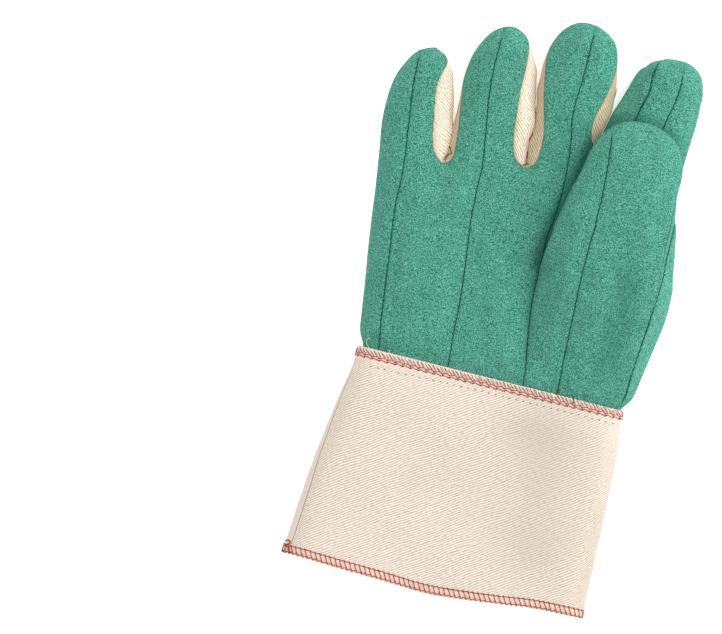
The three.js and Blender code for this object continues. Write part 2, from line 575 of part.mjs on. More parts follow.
// The thumb's skin below its crotch: the ball of the thumb and the strip along the hand's edge
function thumbFoot(row, column) {
  const left = palmPoint(row, CREASE);
  if (column === 0) return left;
  const yRight = mix(WRIST_Y, EDGE_TOP, rowShare(row));
  const y = mix(left.y, yRight, column / THUMB_COLUMNS);
  const right = lookUp(THUMB_RIGHT, yRight) - lookUp(THUMB_SEAM_INSET, yRight);
  const quilt = lookUp(THUMB_QUILT, y);
  const x = column <= THUMB_QUILT_COLUMN
    ? mix(left.x, quilt, column / THUMB_QUILT_COLUMN)
    : mix(quilt, right, (column - THUMB_QUILT_COLUMN) / (THUMB_COLUMNS - THUMB_QUILT_COLUMN));
  const outline = lookUp(THUMB_RIGHT, y);
  const low = mix(left.z, lookUp(THUMB_SIDE, y), (x - left.x) / (outline - left.x));
  const crown = round(Math.min(x - left.x, outline - x), THUMB_EDGE, FRONT_CURVE);
  const furrow = column === THUMB_QUILT_COLUMN ? QUILT_DEPTH : 0;
  return point(x, y, mix(low, lookUp(THUMB_TOP, y), crown) - furrow);
}

function thumbEdge(row, level) {
  if (level === 0) return thumbFoot(row, THUMB_COLUMNS);
  if (level === 2) return row < THUMB_ROW ? rightSide(row, 1) : palmPoint(THUMB_ROW, COLUMNS);
  const { y } = thumbFoot(row, THUMB_COLUMNS);
  return point(lookUp(THUMB_RIGHT, y), y, lookUp(THUMB_SIDE, y));
}

const THUMB = {
  name: "thumb", first: 0, last: THUMB_COLUMNS, rows: THUMB_ROWS, quiltColumn: THUMB_QUILT_COLUMN,
  left: THUMB_LEFT, right: THUMB_RIGHT,
  tipX: 46, tipY: 159, roundLeft: 2, roundRight: 2.4, drop: 8,
  insetLeft: EDGE_SEAM, insetRight: THUMB_SEAM_INSET,
  quilt: THUMB_QUILT, ease: THUMB_EASE,
};

function thumbSideZ(x, y) {
  const left = outlineX(THUMB, -1, y);
  const share = (x - left) / (outlineX(THUMB, 1, y) - left);
  return mix(THUMB_INNER_SIDE, lookUp(THUMB_SIDE, y), clamp01(share));
}

function thumbFrontZ(x, y) {
  const share = edgeShare(THUMB, x, y, THUMB_EDGE, TIP_EDGE);
  return mix(thumbSideZ(x, y), lookUp(THUMB_TOP, y), round(share, 1, FRONT_CURVE));
}

function thumbBackZ(x, y) {
  const share = edgeShare(THUMB, x, y, BACK_EDGE, BACK_EDGE);
  return mix(thumbSideZ(x, y), THUMB_UNDERSIDE, round(share, 1, BACK_CURVE));
}

function addThumb() {
  patch("thumb_front", [0, THUMB_ROW], [0, THUMB_COLUMNS], thumbFoot);
  patch("thumb_back", [0, THUMB_ROW], [0, 2], thumbEdge);
  // The web under the thumb has a place for each of the palm's columns from the crease to the edge
  const web = (place) => palmPoint(THUMB_ROW, CREASE + place);
  const digit = { ...THUMB, frontZ: thumbFrontZ, sideZ: thumbSideZ, backZ: thumbBackZ };
  addDigit(digit, "thumb_front", "thumb_back", {
    front: (column) => thumbFoot(THUMB_ROW, column),
    back: (column) => web(column + 2),
    crotch: () => null,
    side: (side, level) => (side < 0 ? web(level) : thumbEdge(THUMB_ROW, level)),
  });
}

function addHand() {
  patch("palm", [0, HAND_ROWS], [0, CREASE], palmPoint);
  patch("palm", [THUMB_ROW, HAND_ROWS], [CREASE, COLUMNS], palmPoint);
  for (const finger of FINGERS) {
    patch(finger.back, [0, HAND_ROWS], [finger.first, finger.last], backPoint, true);
  }
  patch("little_back", [0, HAND_ROWS], [0, 2], leftSide, true);
  patch("index_back", [THUMB_ROW, HAND_ROWS], [0, 2], rightSide);
  patch("index_back", [0, THUMB_ROW], [1, 2], rightSide);
  // The corner between the thumb's strip, the palm and the index finger's back
  const corner = [rightSide(THUMB_ROW - 1, 1), rightSide(THUMB_ROW, 1), rightSide(THUMB_ROW, 0)];
  addFace("index_back", corner.map(vertex), false);
}

// Where three panels meet in a crotch, the skin's direction and the panels' gaps are given by hand
function setCrotches() {
  const pin = (at, panel, normal, shift, share = 1) => {
    const key = `${panel} ${vertex(at)}`;
    skin.normals.set(key, point(...normal).setLength(share));
    skin.shifts.set(key, point(...shift));
  };
  const g = CROTCH_GAP;
  for (const crotch of CROTCHES) {
    pin(crotchPoint(crotch, 0), "palm", [0, 0.7, 0.7], [0, -g, g]);
    for (const [panel, side] of [[crotch.left, -1], [crotch.right, 1]]) {
      pin(crotchPoint(crotch, 0), panel, [0, 0.7, 0.7], [side * g, g, -g]);
      pin(crotchPoint(crotch, 1), panel, [0, 1, 0], [side * g, g, 0]);
      pin(crotchPoint(crotch, 2), panel, [0, 0.7, -0.7], [side * g, g, 0]);
    }
  }
  for (let place = 1; place < COLUMNS - CREASE; place += 1) {
    const web = palmPoint(THUMB_ROW, CREASE + place);
    pin(web, "palm", [0, 0.4, 0.9], [0, 0, -g]);
    pin(web, "thumb_back", [-0.9 / place ** 2, 0.5, -0.8], [0, 0, g]);
  }
  const crease = palmPoint(THUMB_ROW, CREASE);
  pin(crease, "palm", [-0.6, 0.4, 0.7], [-g, 0, -2 * g], CORNER_SHARE);
  pin(crease, "thumb_front", [-0.7, 0.5, 0.4], [g, -g, g], CORNER_SHARE);
  pin(crease, "thumb_back", [-0.7, 0.5, 0.4], [g, g, 0], CORNER_SHARE);
  const edge = palmPoint(THUMB_ROW, COLUMNS);
  pin(edge, "palm", [0.7, 0.7, 0], [-g, g, 0]);
  pin(edge, "thumb_back", [0.7, 0.7, 0], [g, -g, g]);
  pin(edge, "index_back", [0.7, 0.7, 0], [g / 2, 0, -g]);
}

// Directions of the skin at its points
function skinNormals() {
  const normals = skin.points.map(() => point(0, 0, 0));
  for (const { ring } of skin.faces) {
    const normal = faceNormal(ring);
    for (const corner of ring) normals[corner].add(normal);
  }
  return normals.map((normal) => normal.normalize());
}

function faceNormal(ring) {
  const corners = ring.map((corner) => skin.points[corner]);
  const last = corners[corners.length - 1];
  const a = corners[2].clone().sub(corners[0]);
  const b = last.clone().sub(corners[1]);
  return a.cross(b).normalize();
}

// Turns one panel's share of the skin into a closed cloth of the given thickness
function clothPanel(panel, thickness, normals) {
  const faces = skin.faces.filter((face) => face.panel === panel);
  const users = new Map();
  for (const face of skin.faces) {
    face.ring.forEach((corner, k) => {
      const next = face.ring[(k + 1) % face.ring.length];
      const key = Math.min(corner, next) + "_" + Math.max(corner, next);
      if (!users.has(key)) users.set(key, []);
      users.get(key).push({ face, from: corner, to: next });
    });
  }
  const isBorder = (list) => list.filter((use) => use.face.panel === panel).length === 1;
  const borders = [...users.values()].filter(isBorder);
  const shifts = seamShifts(panel, borders, normals);
  const outer = new Map();
  const positions = [];
  const place = (corner) => {
    if (!outer.has(corner)) {
      const at = skin.points[corner].clone().add(shifts.get(corner) ?? point(0, 0, 0));
      const normal = skin.normals.get(`${panel} ${corner}`) ?? normals[corner];
      outer.set(corner, positions.length / 3);
      positions.push(...at.toArray(), ...at.clone().addScaledVector(normal, -thickness).toArray());
    }
    return outer.get(corner);
  };
  const triangles = [];
  const quad = (a, b, c, d) => triangles.push(a, b, c, a, c, d);
  for (const { ring } of faces) {
    const ids = ring.map(place);
    if (ids.length === 3) {
      triangles.push(...ids, ...ids.map((id) => id + 1).reverse());
    } else {
      const [a, b, c, d] = shorterFirst(ring, ids);
      quad(a, b, c, d);
      triangles.push(a + 1, c + 1, b + 1, a + 1, d + 1, c + 1);
    }
  }
  for (const list of borders) {
    const { from, to } = list.find((use) => use.face.panel === panel);
    const a = place(from);
    const b = place(to);
    // Both cloths of a seam have their rims cut along the same diagonal
    if (from < to) quad(b, a, a + 1, b + 1);
    else quad(a, a + 1, b + 1, b);
  }
  return solid(positions, triangles);
}

// Starts a quad's ring so that it is cut along its shorter diagonal
function shorterFirst(ring, ids) {
  const [a, b, c, d] = ring.map((corner) => skin.points[corner]);
  return a.distanceTo(c) <= b.distanceTo(d) ? ids : [ids[1], ids[2], ids[3], ids[0]];
}

// How far a panel's points on a seam stay back from it
function seamShifts(panel, borders, normals) {
  const inward = new Map();
  for (const list of borders) {
    if (list.length < 2) continue;
    const { face, from, to } = list.find((use) => use.face.panel === panel);
    const along = skin.points[to].clone().sub(skin.points[from]).normalize();
    const middle = skin.points[to].clone().add(skin.points[from]).multiplyScalar(0.5);
    const centre = point(0, 0, 0);
    face.ring.forEach((corner) => centre.addScaledVector(skin.points[corner], 1 / face.ring.length));
    for (const corner of [from, to]) {
      const direction = normals[corner].clone().cross(along).normalize();
      if (direction.dot(centre.clone().sub(middle)) < 0) direction.negate();
      if (!inward.has(corner)) inward.set(corner, []);
      inward.get(corner).push(direction);
    }
  }
  const shifts = new Map();
  for (const [corner, directions] of inward) {
    const sum = directions.reduce((total, direction) => total.add(direction), point(0, 0, 0));
    const [a, b] = directions;
    const open = directions.length === 2 ? Math.max(1 + a.dot(b), 0.5) : directions.length;
    shifts.set(corner, skin.shifts.get(`${panel} ${corner}`) ?? sum.multiplyScalar(SEAM_GAP / open));
  }
  return shifts;
}

function solid(positions, triangles) {
  const geometry = new THREE.BufferGeometry();
  geometry.setAttribute("position", new THREE.Float32BufferAttribute(positions, 3));
  geometry.setIndex(triangles);
  geometry.computeVertexNormals();
  return geometry;
}

// A closed sheet from a grid of outer points and a grid of inner points. around joins its last column to
// its first.
function sheet(rows, columns, outer, inner, around = false) {
  const positions = [];
  const width = around ? columns : columns + 1;
  for (const grid of [outer, inner]) {
    for (let i = 0; i <= rows; i += 1) {
      for (let j = 0; j < width; j += 1) positions.push(...grid(i, j).toArray());
    }
  }
  const half = (rows + 1) * width;
  const id = (i, j) => i * width + (j % width);
  const triangles = [];
  const quad = (a, b, c, d) => triangles.push(a, b, c, a, c, d);
  for (let i = 0; i < rows; i += 1) {
    for (let j = 0; j < columns; j += 1) {
      quad(id(i, j), id(i, j + 1), id(i + 1, j + 1), id(i + 1, j));
      quad(half + id(i, j), half + id(i + 1, j), half + id(i + 1, j + 1), half + id(i, j + 1));
    }
  }
  for (let j = 0; j < columns; j += 1) {
    quad(id(0, j + 1), id(0, j), half + id(0, j), half + id(0, j + 1));
    quad(id(rows, j), id(rows, j + 1), half + id(rows, j + 1), half + id(rows, j));
  }
  for (let i = 0; i < rows && !around; i += 1) {
    quad(id(i, 0), id(i + 1, 0), half + id(i + 1, 0), half + id(i, 0));
    quad(id(i + 1, columns), id(i, columns), half + id(i, columns), half + id(i + 1, columns));
  }
  return solid(positions, triangles);
}

// The cuff's section at a row, drawn in by the cloth's thickness for its inside
function cuffPoint(row, column, inset) {
  const across = column <= CUFF_COLUMNS ? column : 2 * CUFF_COLUMNS - column;
  const share = (1 - Math.cos((Math.PI * across) / CUFF_COLUMNS)) / 2;
  const start = CUFF[0].y;
  const hem = lookUp(HEM, mix(HEM[0].x, HEM[HEM.length - 1].x, share), "y", "x");
  const y = mix(start, hem, row / CUFF_ROWS);
  const left = lookUp(CUFF, y, "left") + inset;
  const right = lookUp(CUFF, y, "right") - inset;
  const x = mix(left, right, share);
  const top = lookUp(CUFF, y, "top") - inset;
  const side = top / 2 + CUFF_SIDE_RISE;
  const edge = Math.min(x - left, right - x);
  if (across === 0 || across === CUFF_COLUMNS) return point(x, y, side);
  if (column > CUFF_COLUMNS) {
    return point(x, y, mix(side, FLOOR + inset, round(edge, BACK_EDGE, BACK_CURVE)));
  }
  return point(x, y, mix(side, top, round(edge, CUFF_EDGE, FRONT_CURVE)) + cuffWave(x, y, edge));
}

// Low waves of the worn cloth, which fade out at the cuff's sides and at the wrist seam
function cuffWave(x, y, edge) {
  const { height, across, along, slow, phase, fade } = CUFF_WAVE;
  const wave = Math.sin(x / across + y / along) * Math.sin(y / slow + phase);
  return height * wave * smooth(edge / fade) * smooth(-y / fade);
}

function cuffGeometry() {
  const columns = 2 * CUFF_COLUMNS;
  const at = (inset) => (i, j) => cuffPoint(i, (columns - j) % columns, inset);
  return sheet(CUFF_ROWS, columns, at(0), at(CUFF_CLOTH), true);
}

// The strap lies against the back strips, from the hand's outer edge to the fleece of the index finger
function strapPoint(row, column, depth) {
  const y = mix(STRAP_LOW, STRAP_HIGH, row / STRAP_ROWS);
  const left = lookUp(HAND_LEFT, y) + STRAP_INSET_LEFT;
  const right = lookUp(SEAM_MIDDLE_INDEX, y) - STRAP_INSET_RIGHT;
  const x = mix(left, right, (column / STRAP_COLUMNS) ** STRAP_CROWDING);
  const slope = (backZ(x + 0.1, y) - backZ(x - 0.1, y)) / 0.2;
  const normal = point(slope, 0, -1).normalize();
  return point(x, y, backZ(x, y)).addScaledVector(normal, depth);
}

function strapGeometry() {
  const low = (i, j) => strapPoint(i, STRAP_COLUMNS - j, LAYER_GAP + STRAP_CLOTH);
  const high = (i, j) => strapPoint(i, STRAP_COLUMNS - j, LAYER_GAP);
  return sheet(STRAP_ROWS, STRAP_COLUMNS, low, high);
}

addHand();
addFingers();
addThumb();
setCrotches();

const normals = skinNormals();
const PIECES = [
  { name: "palm", color: COLORS.fleece, geometry: clothPanel("palm", FLEECE, normals) },
  { name: "thumb_front", color: COLORS.fleece, geometry: clothPanel("thumb_front", FLEECE, normals) },
  { name: "thumb_back", color: COLORS.fleece, geometry: clothPanel("thumb_back", FLEECE, normals) },
  { name: "index_back", color: COLORS.fleece, geometry: clothPanel("index_back", FLEECE, normals) },
  { name: "middle_back", color: COLORS.twill, geometry: clothPanel("middle_back", TWILL, normals) },
  { name: "ring_back", color: COLORS.twill, geometry: clothPanel("ring_back", TWILL, normals) },
  { name: "little_back", color: COLORS.twill, geometry: clothPanel("little_back", TWILL, normals) },
  { name: "knuckle_strap", color: COLORS.twill, geometry: strapGeometry() },
  { name: "cuff", color: COLORS.twill, geometry: cuffGeometry() },
];

const glove = new THREE.Group();
for (const { name, color, geometry } of PIECES) {
  const cloth = new THREE.MeshStandardMaterial({ color, roughness: 0.95, metalness: 0 });
  const mesh = new THREE.Mesh(geometry, cloth);
  mesh.name = name;
  glove.add(mesh);
}

// The origin is under the middle of the glove's box, on the surface it lies on
const box = new THREE.Box3().setFromObject(glove);
glove.position.set(-(box.min.x + box.max.x) / 2, -(box.min.y + box.max.y) / 2, -box.min.z);

export default glove;
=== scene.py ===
# %% [markdown]
# # A hot mill glove
#
# A hot mill glove is sewn from two cloths: a thick, napped green fleece for the palm and thumb, and a strong
# cream twill for the backs of the fingers and the cuff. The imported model, our fixed frame, gives every panel
# its real size and place. We add what makes it look like cloth: padding, quilt lines, weave, nap and red
# overlock threads. Every object that we make is in metres, with its place in its mesh.

import math
from bisect import bisect_right
from statistics import median

import bmesh
import bpy
from mathutils import Matrix, Vector, noise
from mathutils.bvhtree import BVHTree


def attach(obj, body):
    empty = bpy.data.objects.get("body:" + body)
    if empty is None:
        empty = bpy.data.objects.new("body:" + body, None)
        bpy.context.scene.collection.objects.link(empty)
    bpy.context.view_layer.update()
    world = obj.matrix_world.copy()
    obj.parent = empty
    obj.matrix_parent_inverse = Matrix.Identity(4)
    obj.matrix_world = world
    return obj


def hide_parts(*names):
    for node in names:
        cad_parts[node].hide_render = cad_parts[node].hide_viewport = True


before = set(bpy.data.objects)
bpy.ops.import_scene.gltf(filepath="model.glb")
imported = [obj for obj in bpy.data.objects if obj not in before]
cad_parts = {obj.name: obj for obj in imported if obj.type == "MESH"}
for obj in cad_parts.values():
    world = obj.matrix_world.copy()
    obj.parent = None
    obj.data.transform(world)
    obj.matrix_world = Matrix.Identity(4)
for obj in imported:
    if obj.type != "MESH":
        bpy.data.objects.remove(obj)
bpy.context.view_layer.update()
MM = 0.001

# %% [markdown]
# ## The camera
#
# The glove was photographed from straight above with a long lens, turned by fourteen degrees. From far away a
# lens hardly widens what is nearer, so ours stands four metres up, and its focal length follows from the
# width of the picture.

# %% The camera
PICTURE_WIDTH = 398.5 * MM
PICTURE_CENTRE = (-74.1 * MM, -24.3 * MM)
PICTURE_TURN = math.radians(14)
CAMERA_HEIGHT = 4.0


def put(name, data):
    """A new object in the scene."""
    made = bpy.data.objects.new(name, data)
    bpy.context.collection.objects.link(made)
    return made


lens = bpy.data.cameras.new("camera")
lens.sensor_width = 36
lens.lens = lens.sensor_width * CAMERA_HEIGHT / PICTURE_WIDTH
lens.clip_end = 20
camera = put("camera", lens)
camera.location = (*PICTURE_CENTRE, CAMERA_HEIGHT)
camera.rotation_euler = (0, 0, PICTURE_TURN)
bpy.context.scene.camera = camera
print("focal length", round(lens.lens), "mm")

# %% [markdown]
# ## Lines on the cloth
#
# The quilt lines, seams and the hem are places on the flat pattern that many steps need: the padding stops at
# them, and the threads run along them. They are short tables of points in millimetres, measured from the
# wrist seam. Straight pieces between the points would show as kinks, so `look_up` rounds them.

# %% Sewn lines
PATTERN_ORIGIN = (3.52, -42.46)

# Quilt lines as (y, x): how far up the hand, and where across it.
QUILT_LITTLE = [(-2, -63), (20, -66.5), (40, -69), (60, -71.5), (80, -74), (105, -75), (125, -77.5),
    (143, -80), (160, -81.3), (172, -81)]
QUILT_RING = [(-2, -24), (20, -26), (40, -27), (60, -29), (80, -31.5), (100, -32.8), (115, -33),
    (135, -36), (155, -39), (175, -40), (193, -39.5)]
QUILT_MIDDLE = [(-2, 18.3), (12, 17), (30, 14), (50, 11.5), (70, 11), (85, 11), (100, 12.5), (115, 13),
    (137, 11.3), (155, 8.3), (175, 9), (205, 9)]
QUILT_INDEX = [(60, 50), (100, 52.5), (139, 55), (160, 58.5), (180, 62), (198, 61)]
QUILT_THUMB = [(-2, 37.8), (15, 36.5), (35, 35.5), (70, 34), (100, 34.4), (115, 34.2), (131, 33.2),
    (141, 32.2), (150, 30.8)]
QUILT_BACK = [(5, 52), (20, 54), (50, 55), (75, 57), (100, 58.5), (125, 60), (150, 61.5), (165, 63),
    (185, 65)]
# Two seams between fleece panels that show from above, also as (y, x).
SEAM_INDEX = [(157, 42), (160, 42.6), (167, 43.9), (175.6, 46.3), (184, 46.1), (190.4, 46.9), (193.5, 47.1)]
SEAM_THUMB = [(-2, 72.8), (7, 73.2), (28, 74.6), (45, 75.6), (62, 76.9), (80, 77.5), (91, 76.8), (112, 77)]
# The cuff's lower edge as (x, y).
HEM = [(-89, -117.4), (-72, -117.9), (-60, -118.4), (-36, -119.1), (-20, -119.9), (-6, -120.3),
    (12, -118.9), (36, -116.3), (48, -114.6), (60, -113.7), (81, -113.1)]


def look_up(table, at):
    """The second column of a table at a place along its first, rounded between the rows."""
    if at <= table[0][0]:
        return table[0][1]
    if at >= table[-1][0]:
        return table[-1][1]
    k = next(i for i, row in enumerate(table) if row[0] > at) - 1

    def slope(i):
        a, b = max(i - 1, 0), min(i + 1, len(table) - 1)
        return (table[b][1] - table[a][1]) / (table[b][0] - table[a][0])

    span = table[k + 1][0] - table[k][0]
    t = (at - table[k][0]) / span
    start, end = table[k][1], table[k + 1][1]
    leave, arrive = slope(k) * span, slope(k + 1) * span
    return (2 * t**3 - 3 * t**2 + 1) * start + (t**3 - 2 * t**2 + t) * leave \
        + (3 * t**2 - 2 * t**3) * end + (t**3 - t**2) * arrive


def smooth(t):
    """0 up to 0, 1 from 1, and a soft ramp between."""
    t = min(max(t, 0.0), 1.0)
    return t * t * (3 - 2 * t)


def bell(distance, width):
    """1 at a line, fading softly with the distance from it."""
    return math.exp(-(distance / width) ** 2)


def pattern(place):
    """A place in the frame as millimetres across and up the hand."""
    return place.x / MM - PATTERN_ORIGIN[0], place.y / MM - PATTERN_ORIGIN[1]


def in_frame(x, y, z=0.0):
    """The place in the frame of millimetres across, up the hand and above the table."""
    return Vector((x + PATTERN_ORIGIN[0], y + PATTERN_ORIGIN[1], z)) * MM


print("wrist seam at", [round(value, 4) for value in in_frame(0, 0)])

# %% [markdown]
# ## From a packed panel to cloth
#
# Each panel of the model is a closed solid: an outer face, an inner face and the cut edge between them. Its
# mesh comes as loose triangles, so we merge a copy's doubles and join its triangles into four-sided faces,
# which subdivide evenly. The cut edges are creased, so that the cloth is rounded but keeps its seams.

# %% Copying a panel
SAME_PLACE = 0.02 * MM
FLAT_ENOUGH = math.radians(50)
SQUARE_ENOUGH = math.radians(70)
CUT_EDGE_ANGLE = math.radians(52)
CUT_EDGE_CREASE = 0.75
# How much of each point's miss one try of rounding makes up for
CORRECTION = 0.85


def cloth_copy(node):
    """A panel of the model as a new object, with creased cut edges."""
    bm = bmesh.new()
    bm.from_mesh(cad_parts[node].data)
    bmesh.ops.remove_doubles(bm, verts=bm.verts, dist=SAME_PLACE)
    bmesh.ops.join_triangles(bm, faces=bm.faces, angle_face_threshold=FLAT_ENOUGH,
                             angle_shape_threshold=SQUARE_ENOUGH)
    crease = bm.edges.layers.float.new("crease_edge")
    for edge in bm.edges:
        if len(edge.link_faces) == 2 and edge.calc_face_angle() > CUT_EDGE_ANGLE:
            edge[crease] = CUT_EDGE_CREASE
    for face in bm.faces:
        face.smooth = True
    mesh = bpy.data.meshes.new(node + "_cloth")
    bm.to_mesh(mesh)
    four_sided = sum(len(face.verts) == 4 for face in bm.faces)
    print(f"{node}: {four_sided} of {len(bm.faces)} faces have four sides")
    bm.free()
    piece = put(node + "_cloth", mesh)
    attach(piece, "root")
    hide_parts(node)
    return piece


def finished_mesh(piece):
    """The mesh of an object with its modifiers or its bevel applied."""
    graph = bpy.context.evaluated_depsgraph_get()
    return bpy.data.meshes.new_from_object(piece.evaluated_get(graph), preserve_all_data_layers=True,
                                           depsgraph=graph)


def settle(piece):
    """Applies a piece's modifiers."""
    mesh = finished_mesh(piece)
    piece.modifiers.clear()
    piece.data = mesh


def subdivide(piece, levels, tries=0):
    """Rounds a piece by subdivision. Each try brings the round surface nearer to the piece's points."""
    modifier = piece.modifiers.new("rounded", "SUBSURF")
    modifier.levels = modifier.render_levels = levels
    wanted = [vert.co.copy() for vert in piece.data.vertices]
    for _ in range(tries):
        rounded = piece.evaluated_get(bpy.context.evaluated_depsgraph_get()).to_mesh()
        misses = [place - rounded.vertices[index].co for index, place in enumerate(wanted)]
        for vert, miss in zip(piece.data.vertices, misses):
            vert.co += miss * CORRECTION
        piece.data.update()
    if tries:
        most = max(miss.length for miss in misses) / MM
        print(f"{piece.name}: before the last try the round surface missed by up to {most:.2f} mm")
    settle(piece)


def mark(piece, name):
    """A new value on each point of a piece, which a material reads by its name."""
    return piece.data.attributes.new(name, "FLOAT", "POINT")


# %% [markdown]
# Some of a panel's faces look at another panel: its inner side, the walls between two fingers and the palm
# under the thumb. Cloth can't swell there. We find these places with a ray from each point along its normal
# that meets the glove again.

# %% Finding the hidden side
REACH = 60 * MM
CLEAR = 1.5 * MM


def solid_of(meshes):
    """A search tree over several meshes, which answers where a ray meets them."""
    bm = bmesh.new()
    for mesh in meshes:
        bm.from_mesh(mesh)
    tree = BVHTree.FromBMesh(bm)
    bm.free()
    return tree


packed_glove = solid_of([node.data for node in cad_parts.values()])


def faces_glove(place, normal):
    """Whether another part of the glove lies in front of a point."""
    return packed_glove.ray_cast(place + normal * CLEAR, normal, REACH)[0] is not None


def spots(piece):
    """Each point with its place and normal, read before any point moves, because that undoes them."""
    return [(vert, vert.co.copy(), vert.normal.copy()) for vert in piece.data.vertices]


print("hidden side found from", len(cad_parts), "panels")

# %% [markdown]
# ## Padding
#
# The fleece is quilted: cloth over padding, held down along the quilt lines and seams. In a cloth simulation
# the closed panel is blown up a little from inside while its seams, its quilt lines and its hidden side are
# pinned, so the cloth between them swells into soft channels. Gravity is off, because the glove already lies
# in its shape, and a cap keeps the panel as thick as the real one.

# %% Blowing up a quilted panel
RIM_ANGLE = math.radians(25)
LINE_HOLD = 4.0
PRESSURE = 4.0
POINT_MASS = 0.01
STRETCH = 0.05
FRAMES = 20
CLOTH = {
    "quality": 5, "mass": POINT_MASS, "air_damping": 0, "tension_stiffness": STRETCH,
    "compression_stiffness": STRETCH, "shear_stiffness": STRETCH / 3, "bending_stiffness": 0,
    "use_pressure": True, "uniform_pressure_force": PRESSURE, "vertex_group_mass": "pinned",
}


def pin(piece, line_distance):
    """Pins a panel's cut edges, hidden side and quilt lines."""
    bm = bmesh.new()
    bm.from_mesh(piece.data)
    rim = set()
    for edge in bm.edges:
        if len(edge.link_faces) == 2 and edge.calc_face_angle() > RIM_ANGLE:
            rim.update(vert.index for vert in edge.verts)
    bm.free()
    pinned = piece.vertex_groups.new(name="pinned")
    for vert, place, normal in spots(piece):
        held = vert.index in rim or faces_glove(place, normal)
        near_line = 1 - smooth(line_distance(place, normal) / LINE_HOLD)
        pinned.add([vert.index], 1.0 if held else near_line, "REPLACE")


def blow_up(piece, cap):
    """Swells a pinned panel by cloth simulation, by no more than the cap."""
    start = [vert.co.copy() for vert in piece.data.vertices]
    cloth = piece.modifiers.new("padding", "CLOTH")
    for setting, value in CLOTH.items():
        setattr(cloth.settings, setting, value)
    cloth.settings.effector_weights.gravity = 0
    cloth.collision_settings.use_collision = False
    cloth.point_cache.frame_start = 1
    cloth.point_cache.frame_end = FRAMES
    for number in range(1, FRAMES + 1):
        bpy.context.scene.frame_set(number)
    settle(piece)
    bpy.context.scene.frame_set(1)
    moves = []
    for vert, origin in zip(piece.data.vertices, start):
        move = vert.co - origin
        moves.append(move.length)
        if move.length > cap:
            vert.co = origin + move * (cap / move.length)
    print(f"{piece.name}: median move {median(moves) / MM:.2f} mm, most {max(moves) / MM:.2f}")


# %% [markdown]
# ## The quilt lines
#
# A needle pulls the cloth down into a narrow groove, finer than the simulation's mesh, so the grooves are
# pressed in after it. Soft cloth is never quite even either: smooth noise moves its points a little up or
# down, and the ball of the thumb has a soft hollow.

# %% Pressing in the quilt lines
GROOVE_DEPTH = 0.4
GROOVE_WIDTH = 0.75
TABLE_GAP = 0.1 * MM
UP, DOWN = 1, -1
# The lines sewn into each panel, and the side of the glove on which each one shows
QUILTS = {
    "palm": ((QUILT_LITTLE, UP), (QUILT_RING, UP), (QUILT_MIDDLE, UP), (QUILT_INDEX, UP), (SEAM_INDEX, UP)),
    "thumb_front": ((QUILT_THUMB, UP), (SEAM_THUMB, UP)),
    "thumb_back": ((SEAM_THUMB, UP),),
    "index_back": ((QUILT_BACK, DOWN), (SEAM_INDEX, UP)),
}
# The uneven cloth's lumps as (height, width)
LUMPS = ((0.24, 13), (0.05, 4.5))
# The hollow along the ball of the thumb as (y, x), and as (y, depth)
HOLLOW = [(8, 54), (30, 54.4), (58, 55.2), (91, 50.4), (112, 48)]
HOLLOW_DEPTH = [(6, 0), (24, 1.6), (62, 1.6), (90, 0.6), (112, 0)]
HOLLOW_WIDTH = 8.0


def to_nearest_line(lines):
    """A function for a point's distance in millimetres from the nearest line on its side."""
    def distance(place, normal):
        x, y = pattern(place)
        return min((abs(x - look_up(line, y)) for line, side in lines
                    if side * normal.z > 0.2 and line[0][0] - 2 < y < line[-1][0] + 2), default=99.0)
    return distance


def uneven(millimetres, waves):
    """Smooth noise at a place in millimetres, made of waves with a height and a width."""
    return sum(height * noise.noise(millimetres / width) for height, width in waves)


def hollow_depth(x, y, shift=0.0):
    """How deep the thumb's hollow would be here if it lay so far to the right."""
    return look_up(HOLLOW_DEPTH, y) * bell(x - look_up(HOLLOW, y) - shift, HOLLOW_WIDTH)


def press(piece, node, line_distance):
    """Presses in the quilt lines, makes the cloth uneven, and keeps the grooves for their painted shade."""
    groove_shade = mark(piece, "groove_shade")
    for vert, place, normal in spots(piece):
        if faces_glove(place, normal):
            continue
        groove = bell(line_distance(place, normal), GROOVE_WIDTH)
        groove_shade.data[vert.index].value = groove
        lump = uneven(place / MM, LUMPS)
        if node == "thumb_front":
            lump -= hollow_depth(*pattern(place))
        place += normal * (lump * (1 - groove) - GROOVE_DEPTH * groove) * MM
        vert.co = (place.x, place.y, max(place.z, TABLE_GAP))


print("quilt lines of", len(QUILTS), "panels")

# %% [markdown]
# ## Pulls and painted shade
#
# A worn glove doesn't lie quite like its pattern, so small pulls move its cloth by a millimetre or two. Shade
# is painted into its nap: the thumb's shadow beside the thumb, and the shade of a soft fold next to the
# thumb's hollow. A value on each point says how dark it is there, and the fleece material reads it.

# %% Pulling and shading
THUMB = ("thumb_front", "thumb_back")
# The panels, the place in the pattern, how far the pull reaches, and the pull, in millimetres
PULLS = (
    (("palm",), (-68, 168), 6, (2.3, 0.8)),
    (("palm",), (-26, 190), 6, (1.3, 0.4)),
    (("palm", "middle_back"), (23, 199), 8, (1.4, 0.4)),
    (("palm", "little_back"), (-93, 128), 22, (-0.7, 0.0)),
    (("little_back",), (-92, 128), 32, (0.55, 0.0)),
    (("palm", "index_back"), (37, 186), 8, (1.0, -0.3)),
    (("palm", "index_back"), (43, 193), 7, (0.0, 1.0)),
    (("palm", "index_back"), (46, 169), 7, (-1.3, 0.0)),
    (("cuff",), (-82, -45), 28, (-1.2, 0.0)),
    (THUMB, (78, 118), 20, (-1.3, 0.0)),
    (THUMB, (79, 85), 20, (-0.6, 0.0)),
    (THUMB, (78, 11), 10, (1.2, 0.0)),
)
# How far the painted shadow beside the thumb reaches, and the height at which it is measured
SHADE_REACH = 9.0
THUMB_HEIGHT = 26 * MM
# How far right of the hollow its fold's painted shade lies, and how dark for each millimetre of its depth
PAINTED_SHADE_SHIFT = 7.0
PAINTED_SHADE_PER_MM = 0.26

thumb = solid_of([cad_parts[name].data for name in THUMB])


